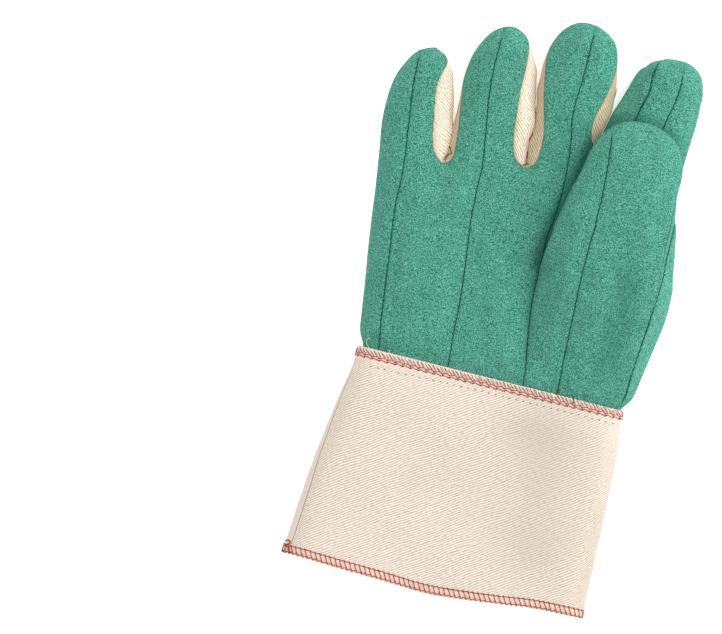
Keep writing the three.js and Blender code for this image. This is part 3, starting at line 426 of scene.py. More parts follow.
def pull(piece, node):
    """Moves a panel's cloth by each pull that is meant for it."""
    for nodes, (x, y), reach, (across, up) in PULLS:
        if node not in nodes:
            continue
        centre = in_frame(x, y)
        for vert in piece.data.vertices:
            distance = math.hypot(vert.co.x - centre.x, vert.co.y - centre.y) / MM
            if distance < 2.5 * reach:
                vert.co += Vector((across, up, 0)) * bell(distance, reach) * MM


def shade(piece, node):
    """Keeps the painted shade on each upward point: the thumb's shadow beside it, and a fold's shade by the
    hollow.
    """
    shaded = mark(piece, "shaded")
    for vert in piece.data.vertices:
        if node == "thumb_front":
            dark = PAINTED_SHADE_PER_MM * hollow_depth(*pattern(vert.co), PAINTED_SHADE_SHIFT)
        else:
            beside = Vector((vert.co.x, vert.co.y, THUMB_HEIGHT))
            dark = 1 - smooth(thumb.find_nearest(beside)[3] / MM / SHADE_REACH)
        shaded.data[vert.index].value = dark * smooth(vert.normal.z / 0.3)


print(len(PULLS), "pulls, the longest", max(math.hypot(*by) for _, _, _, by in PULLS), "mm")

# %% [markdown]
# ## The quilted fleece
#
# Each green panel is copied, subdivided, pinned, blown up and subdivided once more. Then it is pulled into
# place, and its quilt lines are pressed in.

# %% Making the fleece panels
SWELL_CAP = 1.8 * MM

fleece = {}
for name, lines in QUILTS.items():
    piece = cloth_copy(name)
    line_distance = to_nearest_line(lines)
    subdivide(piece, 2, tries=4)
    pin(piece, line_distance)
    blow_up(piece, SWELL_CAP)
    subdivide(piece, 1)
    pull(piece, name)
    press(piece, name, line_distance)
    if name != "thumb_back":
        shade(piece, name)
    fleece[name] = piece


# %% [markdown]
# ## The run of the weave
#
# A weave has to run along the cloth, not through space, so each twill panel gets a UV map in metres: across
# the hand, round the edge and up the hand. It is turned over on the back, because a twill rises to the same
# side from either face of the glove. The walls between the fingers are cut with the weave turned, and the
# little finger's outer side unrolls from its edge.

# %% Laying the weave
# How far the weave is turned in the walls, in degrees
WALL_TURNS = {"little_back": 90, "ring_back": 110, "middle_back": 110}
# The walls are seen at a slant, so their weave is drawn a little coarser.
WALL_SCALE = 0.87
PALM_SHADOW = 1.3
OUTER_SLICE = 6 * MM
OUTER_REACH = 8 * MM

palm_edge = solid_of([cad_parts["palm"].data])


def rounded(slope):
    """How far cloth has turned round an edge, from -1 to 1. A nearly flat slope counts as flat."""
    return slope * smooth((abs(slope) - 0.15) / 0.35)


def is_wall(node, face):
    """Whether a face of a finger's back piece looks at the next finger."""
    outer_side = node == "little_back" and face.normal.x < 0
    return node.endswith("_back") and face.normal.z > 0 and not outer_side


def outer_edge(mesh):
    """Where a piece reaches furthest left, slice by slice, as its x and its z by y."""
    furthest = {}
    for vert in mesh.vertices:
        key = round(vert.co.y / OUTER_SLICE)
        if key not in furthest or vert.co.x < furthest[key].x:
            furthest[key] = vert.co.copy()
    rows = [(key * OUTER_SLICE, place) for key, place in sorted(furthest.items())]
    return [(y, place.x) for y, place in rows], [(y, place.z) for y, place in rows]


def lay_weave(piece, node):
    """A UV map in metres that follows the cloth round its edges, and marks for the walls."""
    walled = mark(piece, "walled")
    shadowed = mark(piece, "shadowed")
    mesh = piece.data
    edge_x, edge_z = outer_edge(mesh)
    turn = Matrix.Rotation(math.radians(WALL_TURNS.get(node, 0)), 2)
    layer = mesh.uv_layers.new(name="cloth")
    top = max(vert.co.z for vert in mesh.vertices)
    for face in mesh.polygons:
        wall = is_wall(node, face)
        side = 1 if wall or (node == "cuff" and face.normal.z >= 0) else -1
        for corner in face.loop_indices:
            vert = mesh.vertices[mesh.loops[corner].vertex_index]
            depth = top - vert.co.z if side > 0 else vert.co.z
            across = side * (vert.co.x + rounded(vert.normal.x) * depth)
            up = vert.co.y + rounded(vert.normal.y) * depth
            if wall:
                walled.data[vert.index].value = 1.0
                under_palm = 0.9 * (1 - smooth(palm_edge.find_nearest(vert.co)[3] / MM / PALM_SHADOW))
                turned_away = face.normal.x < 0 or node == "middle_back"
                shadowed.data[vert.index].value = 1.0 if turned_away else under_palm
                across, up = turn @ Vector((across, up)) * WALL_SCALE
            elif node == "little_back":
                left = look_up(edge_x, vert.co.y)
                above = vert.co.z > look_up(edge_z, vert.co.y) and vert.co.x < left + OUTER_REACH
                across = side * ((2 * left - vert.co.x if above else vert.co.x) - vert.co.z)
            layer.data[corner].uv = (across, up)


print("weave turned in the walls of", len(WALL_TURNS), "fingers")

# %% [markdown]
# ## Wrinkles, crease and darker spots
#
# Worn twill has long soft wrinkles that run a little askew. The cuff is pressed flat along a crease at its
# left edge, with painted shade along the crease and left of it where it turns down. It is also darker in a
# few soft spots and towards its right edge.

# %% Wrinkling and darkening
# The wrinkles as (height, width)
WRINKLES = ((0.50, 38), (0.08, 13))
# The crease as (y, x), where it ends below the wrist seam, and how deep and wide it is
CUFF_CREASE = [(-116, -85.3), (-112, -85), (-80, -82.2), (-50, -79.4), (-20, -76.3), (-4, -74.7)]
CREASE_TOP = -3
CREASE_DEPTH = 0.25
CREASE_WIDTH = 0.6
FAR = 30.0
# The dark spots as (x, y, reach, how dark), and the same for the right edge
DARK_SPOTS = ((34, -19, 25, 0.5), (40, -50, 14, 0.28), (47, -80, 24, 0.42), (-28, -62, 10, 0.18))
RIGHT_EDGE_X, RIGHT_EDGE_REACH, RIGHT_EDGE_DARK = 71, 8, 0.4


def free_of_palm(place):
    """0 at the seam with the palm, and 1 from a few millimetres away."""
    return smooth((palm_edge.find_nearest(place)[3] / MM - 0.5) / 4.5)


def crumple(piece):
    """Soft wrinkles of a worn cloth, and how far each point lies right of the cuff's crease."""
    beyond = mark(piece, "beyond_crease")
    for vert, place, normal in spots(piece):
        x, y = pattern(place)
        right_of_crease = math.copysign(FAR, x)
        if y < CREASE_TOP and place.z > 9 * MM and normal.z > 0:
            right_of_crease = (x - look_up(CUFF_CREASE, y)) / max(normal.z, 0.4)
            right_of_crease += math.copysign(FAR * (1 - smooth((CREASE_TOP - y) / 7)), right_of_crease)
        beyond.data[vert.index].value = right_of_crease
        if faces_glove(place, normal):
            continue
        # Turned by twenty degrees and squeezed, so that the wrinkles are long and run askew
        askew = Vector((x * 0.94 + y * 0.34, (y * 0.94 - x * 0.34) * 2.4, place.z / MM))
        wave = uneven(askew, WRINKLES) * free_of_palm(place)
        place += normal * (wave - CREASE_DEPTH * bell(right_of_crease, CREASE_WIDTH)) * MM
        vert.co = (place.x, place.y, max(place.z, TABLE_GAP))


def darken_cuff(piece):
    """Keeps how dark each point of the cuff is: a few soft spots, and more towards its right edge."""
    darkened = mark(piece, "darkened")
    for vert in piece.data.vertices:
        x, y = pattern(vert.co)
        dark = sum(share * bell(math.hypot(x - across, y - up), reach)
                   for across, up, reach, share in DARK_SPOTS)
        darkened.data[vert.index].value = dark + RIGHT_EDGE_DARK * smooth((x - RIGHT_EDGE_X) / RIGHT_EDGE_REACH)


print(len(DARK_SPOTS), "soft dark spots on the cuff")

# %% [markdown]
# ## Seating the cuff and the strap
#
# The overlock draws the cuff's wrist edge down onto the hand, and its threads lift the cuff's edges a little
# off the table. The strap's left end lies on the little finger's piece, and two rows of topstitches press its
# edges in.

# %% Seating
# How far the cuff's sewn edges move: down onto the hand, and up off the table
WRIST_DOWN, WRIST_UP, HEM_UP = 1.25, 0.75, 0.6
STRAP_TOPSTITCHES = (38.6, 77.4)
STRAP_CLEARANCE = 0.12
TOPSTITCH_DEPTH = 0.35

hand = solid_of([node.data for name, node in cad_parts.items()
                 if name not in ("cuff", "knuckle_strap")])


def seat_cuff(piece):
    """Draws the cuff's wrist edge in onto the hand, and lifts both edges for their threads."""
    for vert in piece.data.vertices:
        x, y = pattern(vert.co)
        above = smooth((vert.co.z / MM - 12) / 5)
        below = 1 - smooth((vert.co.z / MM - 2) / 4)
        at_wrist = smooth((y + 12) / 10)
        at_hem = 1 - smooth((y - look_up(HEM, x) - 1) / 10)
        rise = below * (WRIST_UP * at_wrist + HEM_UP * at_hem) - above * WRIST_DOWN * at_wrist
        vert.co.z += rise * MM


def seat_strap(piece):
    """Lays the strap's left end against the hand, and presses its topstitched edges in."""
    for vert, place, normal in spots(piece):
        x, y = pattern(place)
        nearest, _, _, distance = hand.find_nearest(place)
        distance /= MM
        wanted = STRAP_CLEARANCE + max(0.0, distance - 0.9) * 0.75
        if distance > wanted:
            place += (nearest - place) * ((distance - wanted) / distance) * smooth((-76 - x) / 5)
        if normal.z < -0.3:
            place.z += TOPSTITCH_DEPTH * MM * max(bell(y - line, 0.8) for line in STRAP_TOPSTITCHES)
        vert.co = place


print("topstitches at", STRAP_TOPSTITCHES, "mm above the wrist seam")

# %% [markdown]
# ## The twill panels
#
# The cream panels are one strong cloth without padding, so they aren't blown up. They keep the model's shape,
# with the wrinkles of wear.

# %% Making the twill panels
# Each panel, and how steeply its ribs rise, in degrees
RIB_ANGLES = {"middle_back": 68, "ring_back": 68, "little_back": 68, "knuckle_strap": 62, "cuff": 34}

twill = {}
for name in RIB_ANGLES:
    piece = cloth_copy(name)
    subdivide(piece, 2, tries=4)
    crumple(piece)
    if name == "cuff":
        seat_cuff(piece)
        darken_cuff(piece)
    if name == "knuckle_strap":
        seat_strap(piece)
    lay_weave(piece, name)
    pull(piece, name)
    twill[name] = piece
    print(f"{piece.name}: {len(piece.data.polygons)} faces")


# %% [markdown]
# ## The finger crotches
#
# At the foot of each gap between two fingers the side walls lie against each other, so the eye sees a dark
# fold, not the table. The model keeps a clear gap there. We close it by pushing both walls towards the fold,
# most at half height, and less and less towards the fingertips.

# %% Closing the crotches
WALL_HEIGHT = 9.5
WALL_SPREAD = 6.0
WALL_THICKNESS = 2.2
WALL_REACH = 14
FOLD_CLEARANCE = 0.15
# The piece left and right of the fold, how far up the walls touch, and the fold as (y, x)
CROTCHES = (
    ("little_back", "ring_back", 128, [(112, -54.6), (115, -53.4), (118, -51.8), (120, -52.2), (125, -52.9),
                                       (131, -52.7), (140, -53.6), (155, -54.6)]),
    ("ring_back", "middle_back", 147, [(121, -9.6), (127, -10.5), (133, -11.6), (138, -10.6), (143, -9.8),
                                       (151, -11.3), (159, -13.1), (165, -14)]),
    ("middle_back", "index_back", 158, [(139, 25.8), (148, 26.8), (156, 28.4), (164, 30), (172, 32)]),
)


def close_crotch(piece, side, top, fold):
    """Pushes a finger's side wall towards a fold. side is -1 for the finger left of it and 1 right of it."""
    tree = solid_of([piece.data])
    pushed = 0
    for vert in piece.data.vertices:
        x, y = pattern(vert.co)
        fold_x = look_up(fold, y)
        depth = (x - fold_x) * side
        if not (fold[0][0] - 4 < y < top + 14 and -1 < depth < WALL_REACH):
            continue
        height = vert.co.z / MM
        distance = tree.ray_cast(in_frame(fold_x, y, height), Vector((side, 0, 0)), WALL_REACH * MM)[3]
        if distance is None or distance < FOLD_CLEARANCE * MM:
            continue
        gap = distance / MM
        share = bell(height - WALL_HEIGHT, WALL_SPREAD) * (1 - smooth((y - top) / 11))
        share *= free_of_palm(vert.co)
        share *= 1 - smooth((depth - gap - WALL_THICKNESS) / 3)
        vert.co.x -= side * (gap - FOLD_CLEARANCE) * share * MM
        pushed += 1
    print(f"{piece.name}: {pushed} points pushed towards a fold")


for left, right, top, fold in CROTCHES:
    for name, side in ((left, -1), (right, 1)):
        close_crotch(twill.get(name) or fleece[name], side, top, fold)


# %% [markdown]
# ## Nodes for the finishes
#
# A finish is a network of shader nodes. `add` adds a node with its settings and inputs in one line. A node
# group, which `new_group` starts, lets several materials share one effect.

# %% Node helpers
def fill(tree, node, inputs):
    """Gives a node's inputs, by name or number, a value or another node's output."""
    for name, value in inputs.items():
        if isinstance(value, bpy.types.NodeSocket):
            tree.links.new(value, node.inputs[name])
        else:
            node.inputs[name].default_value = value


def add(tree, kind, inputs=None, **settings):
    """A new shader node with its inputs and settings."""
    made = tree.nodes.new("ShaderNode" + kind)
    for name, value in settings.items():
        setattr(made, name, value)
    fill(tree, made, inputs or {})
    return made


def maths(tree, operation, *values):
    """The result of a Math node."""
    return add(tree, "Math", dict(enumerate(values)), operation=operation).outputs[0]


def times(tree, first, second):
    """The product of two values."""
    return maths(tree, "MULTIPLY", first, second)


def mix(tree, factor, first, second, blend="MIX"):
    """The result of mixing two colours."""
    return add(tree, "Mix", {0: factor, 6: first, 7: second}, data_type="RGBA", blend_type=blend).outputs[2]


def attribute(tree, name):
    """A value that the mesh keeps on its points."""
    return add(tree, "Attribute", attribute_name=name).outputs["Fac"]


def in_millimetres(tree, metres):
    """A vector in metres as one in millimetres."""
    return add(tree, "VectorMath", {0: metres, "Scale": 1000.0}, operation="SCALE").outputs[0]


def lumps(tree, vector, scale, detail=2.0):
    """Noise from 0 to 1 over a vector."""
    return add(tree, "TexNoise", {"Vector": vector, "Scale": scale, "Detail": detail}).outputs["Fac"]


def band(tree, value, low, high):
    """0 under the low value, 1 over the high one, and a soft ramp between."""
    return add(tree, "MapRange", {"Value": value, "From Min": low, "From Max": high},
               interpolation_type="SMOOTHSTEP").outputs["Result"]


def bump(tree, height, depth):
    """A normal that makes a height from 0 to 1 look so many metres deep."""
    return add(tree, "Bump", {"Height": height, "Distance": depth, "Strength": 1.0}).outputs["Normal"]


# %% Groups, materials and colours
def new_group(name, vectors, values, outputs):
    """A node group with named sockets, as its tree, what comes in and the node for what goes out."""
    tree = bpy.data.node_groups.new(name, "ShaderNodeTree")
    for label in vectors:
        tree.interface.new_socket(label, in_out="INPUT", socket_type="NodeSocketVector")
    for label, value in values.items():
        socket = tree.interface.new_socket(label, in_out="INPUT", socket_type="NodeSocketFloat")
        socket.default_value = value
    for label in outputs:
        tree.interface.new_socket(label, in_out="OUTPUT", socket_type="NodeSocketFloat")
    return tree, tree.nodes.new("NodeGroupInput").outputs, tree.nodes.new("NodeGroupOutput")


def new_material(name, roughness, sheen=0.0):
    """A material with a cloth-like Principled shader, as the material, its tree and the shader."""
    material = bpy.data.materials.new(name)
    material.use_nodes = True
    shader = material.node_tree.nodes["Principled BSDF"]
    fill(material.node_tree, shader, {"Roughness": roughness, "Specular IOR Level": 0.2,
                                      "Sheen Weight": sheen, "Sheen Roughness": 0.6})
    return material, material.node_tree, shader


def srgb(red, green, blue):
    """A colour as it looks on screen, from 0 to 255, as the linear colour that a shader needs."""
    def linear(value):
        value /= 255
        return value / 12.92 if value <= 0.04045 else ((value + 0.055) / 1.055) ** 2.4
    return linear(red), linear(green), linear(blue), 1.0


def wear(piece, material):
    """Gives a piece one material."""
    piece.data.materials.clear()
    piece.data.materials.append(material)


# %% [markdown]
# ## The fleece nap
#
# Brushed fleece is a mat of short curled fibres. From a hand's distance it reads as a fine speckle of lit
# tufts and dark gaps, about a millimetre wide, over broader clouds where the nap was stroked one way or the
# other. The group works in millimetres of object space, so the speckle has its real size on every panel.

# %% The nap group
nap, nap_in, nap_out = new_group("fleece nap", [], {"Tuft Size": 0.54, "Cloud Size": 12.0},
                                 ["Tufts", "Clouds", "Height"])
millimetres = in_millimetres(nap, add(nap, "TexCoord").outputs["Object"])
tuft_scale = maths(nap, "DIVIDE", 1.0, nap_in["Tuft Size"])
cloud_scale = maths(nap, "DIVIDE", 1.0, nap_in["Cloud Size"])
tufts = lumps(nap, millimetres, tuft_scale, 3.0)
fibres = lumps(nap, millimetres, times(nap, tuft_scale, 3.1))
fill(nap, nap_out, {"Tufts": band(nap, tufts, 0.35, 0.65),
                    "Clouds": band(nap, lumps(nap, millimetres, cloud_scale), 0.3, 0.7),
                    "Height": maths(nap, "ADD", tufts, times(nap, fibres, 0.5))})
print("nap group:", len(nap.nodes), "nodes")

# %% The fleece material
FLEECE_DARK = srgb(28, 106, 84)
FLEECE_MID = srgb(74, 160, 137)
FLEECE_LIGHT = srgb(124, 201, 181)
# Painted shade: in the quilt lines' grooves, and beside the thumb
FLEECE_GROOVE_SHADE = srgb(0, 92, 72)
FLEECE_SHADED = srgb(2, 100, 78)

fleece_cloth, tree, shader = new_material("green fleece", roughness=0.95, sheen=0.25)
here = add(tree, "Group", node_tree=nap).outputs
gaps = mix(tree, band(tree, here["Tufts"], 0.0, 0.55), FLEECE_DARK, FLEECE_MID)
colour = mix(tree, band(tree, here["Tufts"], 0.45, 1.0), gaps, FLEECE_LIGHT)
# What darkens the nap, how strongly, and to which colour: its own clouds, then painted shade by the thumb and
# in the grooves
for where, share, dark in (
        (here["Clouds"], 0.16, FLEECE_DARK),
        (attribute(tree, "shaded"), 0.62, FLEECE_SHADED),
        (attribute(tree, "groove_shade"), 0.3, FLEECE_GROOVE_SHADE)):
    colour = mix(tree, times(tree, where, share), colour, dark)
fill(tree, shader, {"Base Color": colour, "Sheen Tint": srgb(150, 220, 190),
                    "Normal": bump(tree, here["Height"], 0.5 * MM)})
for piece in fleece.values():
    wear(piece, fleece_cloth)
print("fleece on", len(fleece), "pieces")

# %% [markdown]
# ## The twill weave
#
# In twill every warp yarn floats over some weft yarns and steps one yarn sideways each time, so the floats
# line up as slanting ribs. The group reads the cloth's UV map, turns it by the rib's angle, and draws the
# ribs as a wave across that direction. The yarn is spun unevenly: it swells and thins along each rib, and
# here and there a dark fleck of husk is spun in.

# %% The twill group
weave, weave_in, weave_out = new_group("twill weave", ["Vector"], {"Pitch": 1.3, "Angle": 0.54},
                                       ["Ribs", "Flecks", "Clouds"])
millimetres = in_millimetres(weave, weave_in["Vector"])
turn = times(weave, weave_in["Angle"], -1.0)
turned = add(weave, "VectorRotate", {"Vector": millimetres, "Angle": turn}, rotation_type="Z_AXIS")
split = add(weave, "SeparateXYZ", {0: turned.outputs[0]}).outputs
drift = maths(weave, "SUBTRACT", lumps(weave, millimetres, 0.045), 0.5)
wander = times(weave, drift, 3.0)
across = maths(weave, "DIVIDE", maths(weave, "ADD", split["Y"], wander), weave_in["Pitch"])
wave = maths(weave, "COSINE", times(weave, across, 2 * math.pi))
rib = maths(weave, "ADD", times(weave, wave, 0.5), 0.5)
slub_size = {"X": times(weave, split["X"], 0.5), "Y": times(weave, across, 0.9)}
along_rib = add(weave, "CombineXYZ", slub_size).outputs[0]
slubs = maths(weave, "SUBTRACT", lumps(weave, along_rib, 1.0), 0.5)
even_rib = maths(weave, "ADD", times(weave, rib, 0.8), 0.17)
uneven_rib = maths(weave, "ADD", even_rib, times(weave, slubs, 0.85))
uneven_rib.node.use_clamp = True
# The clouds are broad random patches, which the twill material uses as painted soft shade of shallow folds
fill(weave, weave_out, {"Ribs": uneven_rib,
                        "Flecks": band(weave, lumps(weave, millimetres, 1.3, 1.0), 0.71, 0.75),
                        "Clouds": band(weave, lumps(weave, millimetres, 0.035), 0.3, 0.7)})
print("twill group:", len(weave.nodes), "nodes")

# %% The twill materials
TWILL_RIB = srgb(255, 247, 233)
TWILL_GROOVE = srgb(186, 161, 141)
TWILL_DEEP_GROOVE = srgb(184, 144, 110)
TWILL_DEEP_RIB = srgb(255, 248, 230)
SALMON = srgb(255, 222, 206)


def twill_material(name, angle):
    """Cream twill whose ribs rise by an angle in degrees, with painted shade and the other marks that the mesh
    keeps.
    """
    material, tree, shader = new_material(name, roughness=0.9, sheen=0.1)
    uv = add(tree, "UVMap", uv_map="cloth").outputs["UV"]
    here = add(tree, "Group", {"Vector": uv, "Angle": math.radians(angle)}, node_tree=weave).outputs
    beyond = attribute(tree, "beyond_crease")
    # Painted shade: a thin line along the cuff's crease, and a band left of it where the cloth turns down
    crease = maths(tree, "SUBTRACT", 1.0, band(tree, maths(tree, "ABSOLUTE", beyond), 0.12, 0.42))
    left = maths(tree, "SUBTRACT", 1.0, band(tree, beyond, -0.8, 0.0))
    turned = times(tree, left, band(tree, beyond, -14.0, -10.0))
    ribs = here["Ribs"]
    open_ribs = mix(tree, ribs, TWILL_GROOVE, TWILL_RIB)
    deep_ribs = mix(tree, band(tree, ribs, 0.05, 0.6), TWILL_DEEP_GROOVE, TWILL_DEEP_RIB)
    colour = mix(tree, attribute(tree, "walled"), open_ribs, deep_ribs)
    # What lies over the ribs: where, how strongly, its colour, and how it mixes. The clouds, the shadowed
    # walls, the band left of the crease and the crease's line are painted shade; flecks and stain are the
    # cloth's own.
    for where, share, over, blend in (
            (here["Clouds"], 0.3, srgb(230, 216, 200), "MIX"),
            (attribute(tree, "darkened"), 1.0, srgb(196, 184, 168), "MIX"),
            (here["Flecks"], 0.75, srgb(120, 100, 82), "MIX"),
            (attribute(tree, "shadowed"), 1.0, srgb(218, 210, 192), "MULTIPLY"),
            (turned, 0.8, srgb(236, 220, 208), "MIX"),
            (crease, 0.7, srgb(120, 100, 82), "MIX"),
            (attribute(tree, "stained"), 1.0, SALMON, "MIX")):
        colour = mix(tree, times(tree, where, share), colour, over, blend)
    fill(tree, shader, {"Base Color": colour, "Normal": bump(tree, ribs, 0.22 * MM)})
    return material


for name, piece in twill.items():
    wear(piece, twill_material("cream twill " + name, RIB_ANGLES[name]))
print("twill on", len(twill), "pieces")

# %% [markdown]
# ## Threads
#
# Every thread is a curve with a round bevel, turned into a mesh. One curve can hold hundreds of short
# splines, so all stitches of one colour and place become a single piece. Each point of a thread is found
# with a ray that comes from outside and stops at the finished cloth.

# %% Thread helpers
# The heights in millimetres from which the rays start
ABOVE, BELOW = 90, -40

dressed_glove = solid_of([piece.data for piece in (*fleece.values(), *twill.values())])


def threads(name, strands, radius, material, closed=False, uneven_ends=False):
    """One mesh of many round strands of a radius in millimetres. Each strand is a list of places."""
    curve = bpy.data.curves.new(name, "CURVE")
    curve.dimensions = "3D"
    curve.bevel_depth = radius * MM
    curve.bevel_resolution = 1
    curve.resolution_u = 3
    curve.use_fill_caps = True
    for number, places in enumerate(strands):
        spline = curve.splines.new("NURBS")
        spline.points.add(len(places) - 1)
        for point, place in zip(spline.points, places):
            point.co = (place.x, place.y, max(place.z, 1.3 * radius * MM), 1.0)
            if uneven_ends:
                point.radius = 0.85 + 0.9 * noise.noise(Vector((number * 0.77, point.co.y / MM, 0)))
        spline.order_u = 3
        spline.use_endpoint_u = not closed
        spline.use_cyclic_u = closed
    draft = put(name + "_draft", curve)
    mesh = finished_mesh(draft)
    bpy.data.objects.remove(draft)
    piece = put(name, mesh)
    wear(piece, material)
    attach(piece, "root")
    triangles = sum(len(face.vertices) - 2 for face in mesh.polygons)
    print(f"{name}: {len(strands)} strands, {triangles} triangles")


def drop(x, y, lift, side=UP):
    """The place above a point of the pattern where a thread lies on the cloth, or None beside it."""
    start = in_frame(x, y, ABOVE if side == UP else BELOW)
    hit, normal, _, _ = dressed_glove.ray_cast(start, Vector((0, 0, -side)))
    if hit is None:
        return None
    return hit + normal * lift * MM


def thread_material(name, light, dark):
    """Spun thread: two shades of one colour, mixed along the strand by fine noise."""
    material, tree, shader = new_material(name, roughness=0.7)
    millimetres = in_millimetres(tree, add(tree, "TexCoord").outputs["Object"])
    twist = lumps(tree, millimetres, 2.2)
    fill(tree, shader, {"Base Color": mix(tree, band(tree, twist, 0.35, 0.65), dark, light),
                        "Specular IOR Level": 0.06, "Normal": bump(tree, twist, 0.15 * MM)})
    return material


RED_THREAD = thread_material("red thread", srgb(198, 46, 36), srgb(110, 20, 16))
CREAM_YARN = thread_material("cream yarn", srgb(255, 248, 236), srgb(232, 214, 194))
GREEN_THREAD = thread_material("green thread", srgb(6, 88, 68), srgb(0, 62, 46))
TAN_THREAD = thread_material("tan thread", srgb(150, 130, 108), srgb(104, 84, 66))
# Brown strands that stand for the shadow lines in the crotches' folds
FOLD_SHADOW_STRAND = thread_material("brown fold shadow", srgb(100, 74, 50), srgb(62, 44, 30))

# %% [markdown]
# ## Quilting stitches
#
# A running stitch shows as a row of dashes in the bottom of each groove. The thread comes up, lies on the
# cloth for three millimetres and goes down again, so each dash is a short strand with both ends sunk.

# %% The quilting stitches
STITCH = 3.35
STITCH_STEP = 3.5
STITCH_DRIFT = 0.3
STITCH_SLANT = 0.22
FOLD_HEIGHT = 2.5 * MM
# A stitch from its side: how far along it, and how much of its lift
STITCH_SHAPE = ((0.0, -0.4), (0.1, 0.0), (0.5, 1.0), (0.9, 0.0), (1.0, -0.4))


def running_stitches(path, first, last, lift, side=UP, length=STITCH, step=STITCH_STEP, turned=False):
    """Short strands along a path, a function from a distance in millimetres to (x, y)."""
    strands = []
    at = first
    while at + length < last:
        shift = STITCH_DRIFT * noise.noise(Vector((at * 0.13, lift, first)))
        places = []
        for share, height in STITCH_SHAPE:
            x, y = path(at + share * length)
            slant = shift + STITCH_SLANT * (2 * share - 1)
            across, up = (0, shift) if turned else (slant, 0)
            places.append(drop(x + across, y + up, lift * height, side))
        found = [place.z for place in places if place is not None]
        # A stitch over the edge of a fold would hang down from it, so it is left out.
        if len(found) == len(places) and max(found) - min(found) < FOLD_HEIGHT:
            strands.append(places)
        at += step
    return strands


quilting = []
for line, first, last, side in (
        (QUILT_LITTLE, 3.5, 173, UP), (QUILT_RING, 3.5, 194, UP), (QUILT_MIDDLE, 3.5, 206, UP),
        (QUILT_INDEX, 158, 199, UP), (QUILT_THUMB, 3.5, 155, UP), (SEAM_THUMB, 4, 112, UP),
        (SEAM_INDEX, 159, 195, UP), (QUILT_BACK, 3.5, 190, DOWN)):
    quilting += running_stitches(lambda y: (look_up(line, y), y), first, last, 0.12, side)
threads("quilting_thread", quilting, 0.26, GREEN_THREAD)

# %% [markdown]
# ## The overlock seams
#
# The cuff's upper edge and its hem are overlocked: a machine lays looping red threads over the raw edge. The
# pattern repeats every 4.4 mm at the wrist and every 2.8 mm at the hem. One stitch is drawn flat and laid
# round the cuff again and again. We walk the cuff's outline like a race track: two straights joined by half
# circles, with rays from outside inwards.

# %% Walking round the cuff
STRAIGHT_STEPS = 90
BEND_STEPS = 30


class Round:
    """A walk round the glove near one height of the pattern, measured along its surface."""

    def __init__(self, left, right, middle, height):
        self.height = height
        self.middle = middle
        left, right = left + middle, right - middle
        self.tracks = []
        for start, end, angle in ((left, right, 90), (right, left, -90)):
            step = (end - start) / STRAIGHT_STEPS
            self.tracks += [(start + step * i, angle) for i in range(STRAIGHT_STEPS)]
            self.tracks += [(end, angle - 180 * i / BEND_STEPS) for i in range(BEND_STEPS)]
        self.tracks.append((left, -270))
        self.marks = [0.0]
        places = [self.cast(x, angle, 0.0, 0.0) for x, angle in self.tracks]
        for before, place in zip(places, places[1:]):
            self.marks.append(self.marks[-1] + (place - before).length / MM)
        self.length = self.marks[-1]

    def cast(self, x, angle, up, lift):
        """Where a ray towards the track's middle line meets the cloth, lifted off it."""
        outwards = Vector((math.cos(math.radians(angle)), 0, math.sin(math.radians(angle))))
        on_cloth = max(up, 0.3)
        target = in_frame(x, self.height(x) + on_cloth, self.middle)
        hit, normal, _, _ = dressed_glove.ray_cast(target + outwards * REACH, -outwards, REACH)
        if hit is None:
            hit, normal = target + outwards * self.middle * MM, outwards
        return hit + normal * lift * MM + Vector((0, up - on_cloth, 0)) * MM

    def at(self, along, up, lift):
        """The place so far along the walk, so far up and lifted off the cloth."""
        along %= self.length
        k = min(bisect_right(self.marks, along) - 1, len(self.tracks) - 2)
        share = (along - self.marks[k]) / max(self.marks[k + 1] - self.marks[k], 1e-6)
        (x, angle), (next_x, next_angle) = self.tracks[k:k + 2]
        return self.cast(x + (next_x - x) * share, angle + (next_angle - angle) * share, up, lift)


def wrist_line(x):
    """Where the overlock's lower chain runs: it drops a little to the left."""
    return -2.4 + 0.006 * x


wrist = Round(-75.2, 75.2, 10.0, wrist_line)
hem = Round(-88.6, 80.4, 9.5, lambda x: look_up(HEM, x))
print("wrist", round(wrist.length), "mm round, hem", round(hem.length), "mm round")

# %% [markdown]
# Each strand of a stitch is a short table of (along, up, lift) in millimetres. Chains run on from stitch to
# stitch without an end, while wraps, yarn ends and cross threads are separate strands.

# %% Laying the overlock
WRIST_PITCH = 4.4
LOWER_CHAIN = [(0.0, 0.75, 0.25), (1.2, 0.4, 0.25), (2.4, 0.05, 0.25), (3.3, -0.25, 0.25),
               (3.9, 0.1, 0.35), (3.5, 0.65, 0.4)]
MIDDLE_CHAIN = [(0.0, 1.75, 0.4), (1.1, 2.15, 0.5), (2.2, 1.65, 0.4), (3.3, 1.2, 0.5)]
WRAPS = [[(-1.2, 4.5, -0.1), (-0.7, 4.1, 0.5), (0.5, 3.1, 0.6), (2.0, 1.8, 0.4)],
         [(1.0, 4.5, -0.1), (1.5, 4.1, 0.5), (2.7, 3.1, 0.6), (4.3, 1.4, 0.4)],
         [(2.4, 1.7, 0.4), (3.0, 0.8, 0.45), (3.5, -0.1, 0.3)]]
YARN_ENDS = [[(-0.3, 4.8, 0.1), (0.3, 4.3, 0.3), (1.3, 3.5, 0.25), (2.1, 2.9, 0.0)],
             [(1.9, 4.7, 0.1), (2.5, 4.3, 0.3), (3.4, 3.6, 0.25), (4.2, 3.0, 0.0)]]
HEM_PITCH = 2.8
UPPER_CHAIN = [(0.0, 4.4, 0.3), (1.2, 4.2, 0.3), (2.0, 4.4, 0.3), (2.5, 4.9, 0.4)]
EDGE_CHAIN = [(0.0, 0.4, 0.4), (0.9, 1.0, 0.3), (1.9, 0.8, 0.3), (2.4, 0.2, 0.4)]
CROSS_THREADS = [[(2.5, 4.7, 0.35), (3.3, 3.4, 0.4), (4.3, 1.8, 0.4), (5.1, 0.4, 0.35), (5.3, -0.4, -0.7),
                  (5.4, 0.6, -1.9), (5.6, 1.6, -1.9)]]
